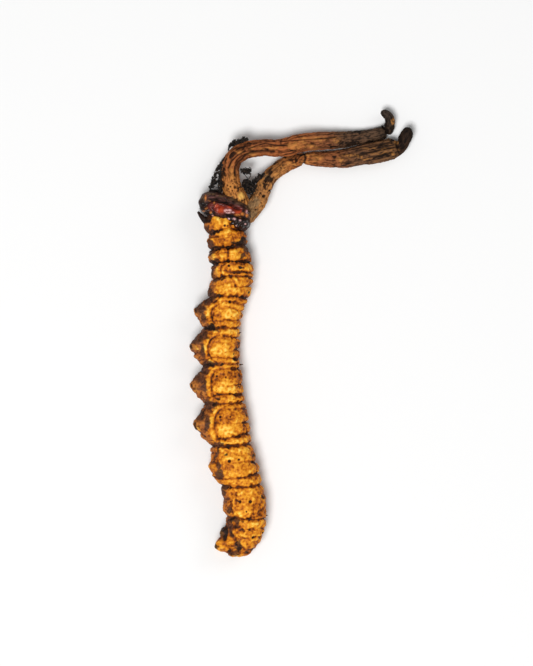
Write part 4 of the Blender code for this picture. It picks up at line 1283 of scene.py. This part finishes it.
soils = {
    "soil_crust": {
        "piece": "crustCrumbs",
        "seed": 21,
        # strands: rows of u, v in pixels, height and radius in millimetres, then the number of crumbs
        "strands": [
            ([(210.8, 189, 3.1, 0.30), (212.2, 184, 3.1, 0.36), (213.8, 178, 3.12, 0.32),
              (216, 172, 3.15, 0.26), (219.6, 166, 3.2, 0.22), (223.4, 161, 3.2, 0.18),
              (227, 156, 3.2, 0.14), (230, 152, 3.2, 0.08)], 430),
            ([(211, 190.8, 3.1, 0.26), (215.5, 191.8, 3.1, 0.24), (221.5, 191.4, 3.5, 0.30)], 130),
            ([(220.4, 190.5, 3.5, 0.36), (220.6, 184, 3.5, 0.34), (220.4, 177, 3.5, 0.32),
              (222, 169, 3.5, 0.28), (225, 162, 3.5, 0.18)], 420),
            ([(214, 182.6, 3.1, 0.20), (217, 181.6, 3.1, 0.18), (219.5, 180.5, 3.1, 0.18)], 60),
            ([(215.5, 173.6, 3.1, 0.16), (219.5, 172, 3.1, 0.14)], 26),
        ],
        "threads": [
            [(211, 188, 3.3), (213.5, 186, 3.5), (215, 182.5, 3.4), (214, 178, 3.3)],
            [(212, 184, 3.2), (215, 187, 3.3), (218, 188, 3.4)],
            [(217, 170, 3.2), (219, 166, 3.3), (222, 161, 3.4), (225, 157, 3.3)],
        ],
    },
    "soil_tuft": {
        "piece": "tuftCrumbs",
        "seed": 22,
        "strands": [
            ([(229.5, 146.5, 3.15, 0.18), (232, 144, 3.15, 0.34), (235.5, 142.8, 3.15, 0.42),
              (239, 142, 3.15, 0.44), (243, 140.8, 3.15, 0.42), (247, 139.8, 3.15, 0.24)], 420),
            ([(228.3, 151, 3.15, 0.10), (228.6, 148.5, 3.15, 0.08), (230, 146, 3.15, 0.14)], 22),
            ([(233.5, 141.5, 3.15, 0.10), (233.8, 139.8, 3.15, 0.06)], 8),
            ([(243, 139, 3.15, 0.16), (243.6, 137.4, 3.15, 0.08)], 12),
            ([(237, 145, 3.1, 0.26), (242, 144, 3.1, 0.22)], 50),
        ],
        "threads": [
            [(244, 140, 3.2), (246, 139, 3.3), (247.8, 139.6, 3.2)],
            [(231, 146, 3.2), (229, 148, 3.2), (228.2, 151, 3.1)],
        ],
    },
    "soil_clump": {
        "piece": "clumpCrumbs",
        "seed": 23,
        "strands": [
            ([(242.5, 171, 3.05, 0.32), (246, 171, 3.05, 0.50), (250, 171.6, 3.05, 0.40)], 280),
            ([(244.6, 182.6, 3.05, 0.44), (248, 184.6, 3.05, 0.72), (250, 188.4, 3.05, 0.80),
              (250.6, 192, 3.0, 0.46)], 640),
            ([(253, 182.6, 3.0, 0.44), (257, 179.4, 3.0, 0.42), (261, 176.4, 2.92, 0.30),
              (264, 174, 2.86, 0.12)], 260),
            ([(258.6, 176, 2.95, 0.14), (258.8, 174, 2.95, 0.12)], 16),
            ([(255, 187, 3.0, 0.36), (256, 192, 3.0, 0.18)], 70),
        ],
        "threads": [
            [(244.3, 174.4, 3.0), (246, 176.5, 3.05), (248.5, 179.6, 3.1)],
            [(251, 173.5, 3.1), (250.5, 176.5, 3.15), (248.3, 179.8, 3.1)],
            [(249.4, 167.4, 3.2), (251, 168.4, 3.3), (251.4, 170.6, 3.2), (249.8, 172.6, 3.2)],
            [(240.8, 168.6, 3.1), (243, 169.6, 3.3), (245, 168.2, 3.3)],
            [(247, 180, 3.3), (250, 183, 3.7), (254, 185, 3.6)],
            [(244, 186, 3.5), (248, 189, 3.8), (252, 187, 3.8), (255, 189, 3.5)],
        ],
    },
}


# A crumb is a small ball: its least size, what a draw adds, and the range of its other two sizes beside
# the first
crumb = {"least": 0.05, "adds": 0.13, "rarity": 2.4, "second": (0.4, 1.0), "third": (0.6, 2.0)}
thread = {"radius": 0.06, "thins": 0.03, "sides": 6}


def makeSoil(node):
    one = soils[node]
    draw = random.Random(one["seed"])
    bm = bmesh.new()
    for rows, count in one["strands"]:
        for _ in range(count):
            at = draw.random() * (len(rows) - 1)
            k = min(int(at), len(rows) - 2)
            u, v, z, radius = (a + (b - a) * (at - k) for a, b in zip(rows[k], rows[k + 1]))
            x, y = fromPhoto(u, v)
            away = Vector((draw.gauss(0, 1), draw.gauss(0, 1), draw.gauss(0, 1))).normalized()
            away *= radius * draw.random() ** 0.5
            size = crumb["least"] + crumb["adds"] * draw.random() ** crumb["rarity"]
            place = Matrix.Translation(Vector((x, y, z)) + away)
            place @= Matrix.Rotation(draw.random() * 6.28, 4, away)
            second = size * draw.uniform(*crumb["second"])
            third = size * draw.uniform(*crumb["third"])
            place @= Matrix.Diagonal((size, second, third, 1))
            bmesh.ops.create_icosphere(bm, subdivisions=1, radius=1, matrix=place)
    for rootlet in one["threads"]:
        points = [(*fromPhoto(u, v), z) for u, v, z in rootlet]
        radii = [thread["radius"] - thread["thins"] * k / len(points) for k in range(len(points))]
        addTaper(bm, points, radii, thread["sides"])
    bmesh.ops.recalc_face_normals(bm, faces=bm.faces)
    return finishPiece(one["piece"], bm, soilMaterial(), node)


soilColours = {"earth": ((12, 9, 8), (46, 35, 28)), "flecksAndGlints": (112, 84, 54)}


def soilMaterial():
    # one material for the three soil pieces
    if "black soil" in bpy.data.materials:
        return bpy.data.materials["black soil"]
    made, shader, place = startMaterial("black soil", Specular_IOR_Level=0.3)
    tone = place.noise(0.35, 3, 0.6)
    colour = tone.between(0.4, 0.7).blend(*shades(soilColours["earth"]))
    # lighter brown flecks, partly painted highlights on the crumbs
    flecksAndGlints = place.noise(0.2, 2).between(0.62, 0.72)
    colour = (flecksAndGlints * 0.8).blend(colour, srgb(*soilColours["flecksAndGlints"]))
    plug(shader, Base_Color=colour, Roughness=0.45 + 0.4 * tone, Normal=place.noise(0.08, 2).bump(0.03))
    return made


makeLarva()
makeHead()
makeStalk("left", 31)
makeStalk("right", 41)
for node in soils:
    makeSoil(node)

# Floor, light and camera

studio = {
    "view": (-4.725 * mm, 0.0675 * mm, 2.5 * mm),
    "cameraRise": 0.62,
    "keyPlace": (-0.10, -0.16, 0.56),
    "keySize": 0.26,
    "keyPower": 3.05,
    "fillPlace": (0.30, 0.22, 0.35),
    "fillSize": 0.30,
    "fillPower": 0.30,
    "skyStrength": 0.26,
    # half the floor's side, how far it lies under the object, and its two pale tones
    "floorHalf": 1.5,
    "floorDrop": 0.00002,
    "floorTones": ((0.90, 0.90, 0.895), (0.87, 0.87, 0.87)),
}


def addAreaLight(name, place, size, power):
    data = bpy.data.lights.new(name, "AREA")
    data.shape = "DISK"
    data.size = size
    data.energy = power
    light = bpy.data.objects.new(name, data)
    target = Vector(studio["view"])
    light.location = target + Vector(place)
    light.rotation_euler = (target - light.location).to_track_quat("-Z", "Y").to_euler()
    bpy.context.scene.collection.objects.link(light)


def makeFloor():
    bm = bmesh.new()
    under = Matrix.Translation((0, 0, -studio["floorDrop"]))
    bmesh.ops.create_grid(bm, x_segments=1, y_segments=1, size=studio["floorHalf"], matrix=under)
    mesh = bpy.data.meshes.new("floor")
    bm.to_mesh(mesh)
    bm.free()
    made, shader, place = startMaterial("pale table", Specular_IOR_Level=0.1, Roughness=0.9)
    plug(shader, Base_Color=place.noise(400, 2).blend(*studio["floorTones"]))
    mesh.materials.append(made)
    floor = bpy.data.objects.new("floor", mesh)
    bpy.context.scene.collection.objects.link(floor)


def makeCamera():
    data = bpy.data.cameras.new("camera")
    data.sensor_fit = "VERTICAL"
    data.sensor_height = 36.0
    shown = photo["height"] * photo["mmPerPixel"] * mm
    data.lens = data.sensor_height * studio["cameraRise"] / shown
    data.clip_start = 0.01
    data.clip_end = 10
    camera = bpy.data.objects.new("camera", data)
    camera.location = Vector(studio["view"]) + Vector((0, 0, studio["cameraRise"]))
    bpy.context.scene.collection.objects.link(camera)
    bpy.context.scene.camera = camera


makeFloor()
addAreaLight("key", studio["keyPlace"], studio["keySize"], studio["keyPower"])
addAreaLight("fill", studio["fillPlace"], studio["fillSize"], studio["fillPower"])
world = bpy.data.worlds.new("studio")
world.use_nodes = True
world.node_tree.nodes["Background"].inputs["Color"].default_value = (1, 1, 1, 1)
world.node_tree.nodes["Background"].inputs["Strength"].default_value = studio["skyStrength"]
bpy.context.scene.world = world
bpy.context.scene.view_settings.view_transform = "Standard"
makeCamera()
print("studio ready")
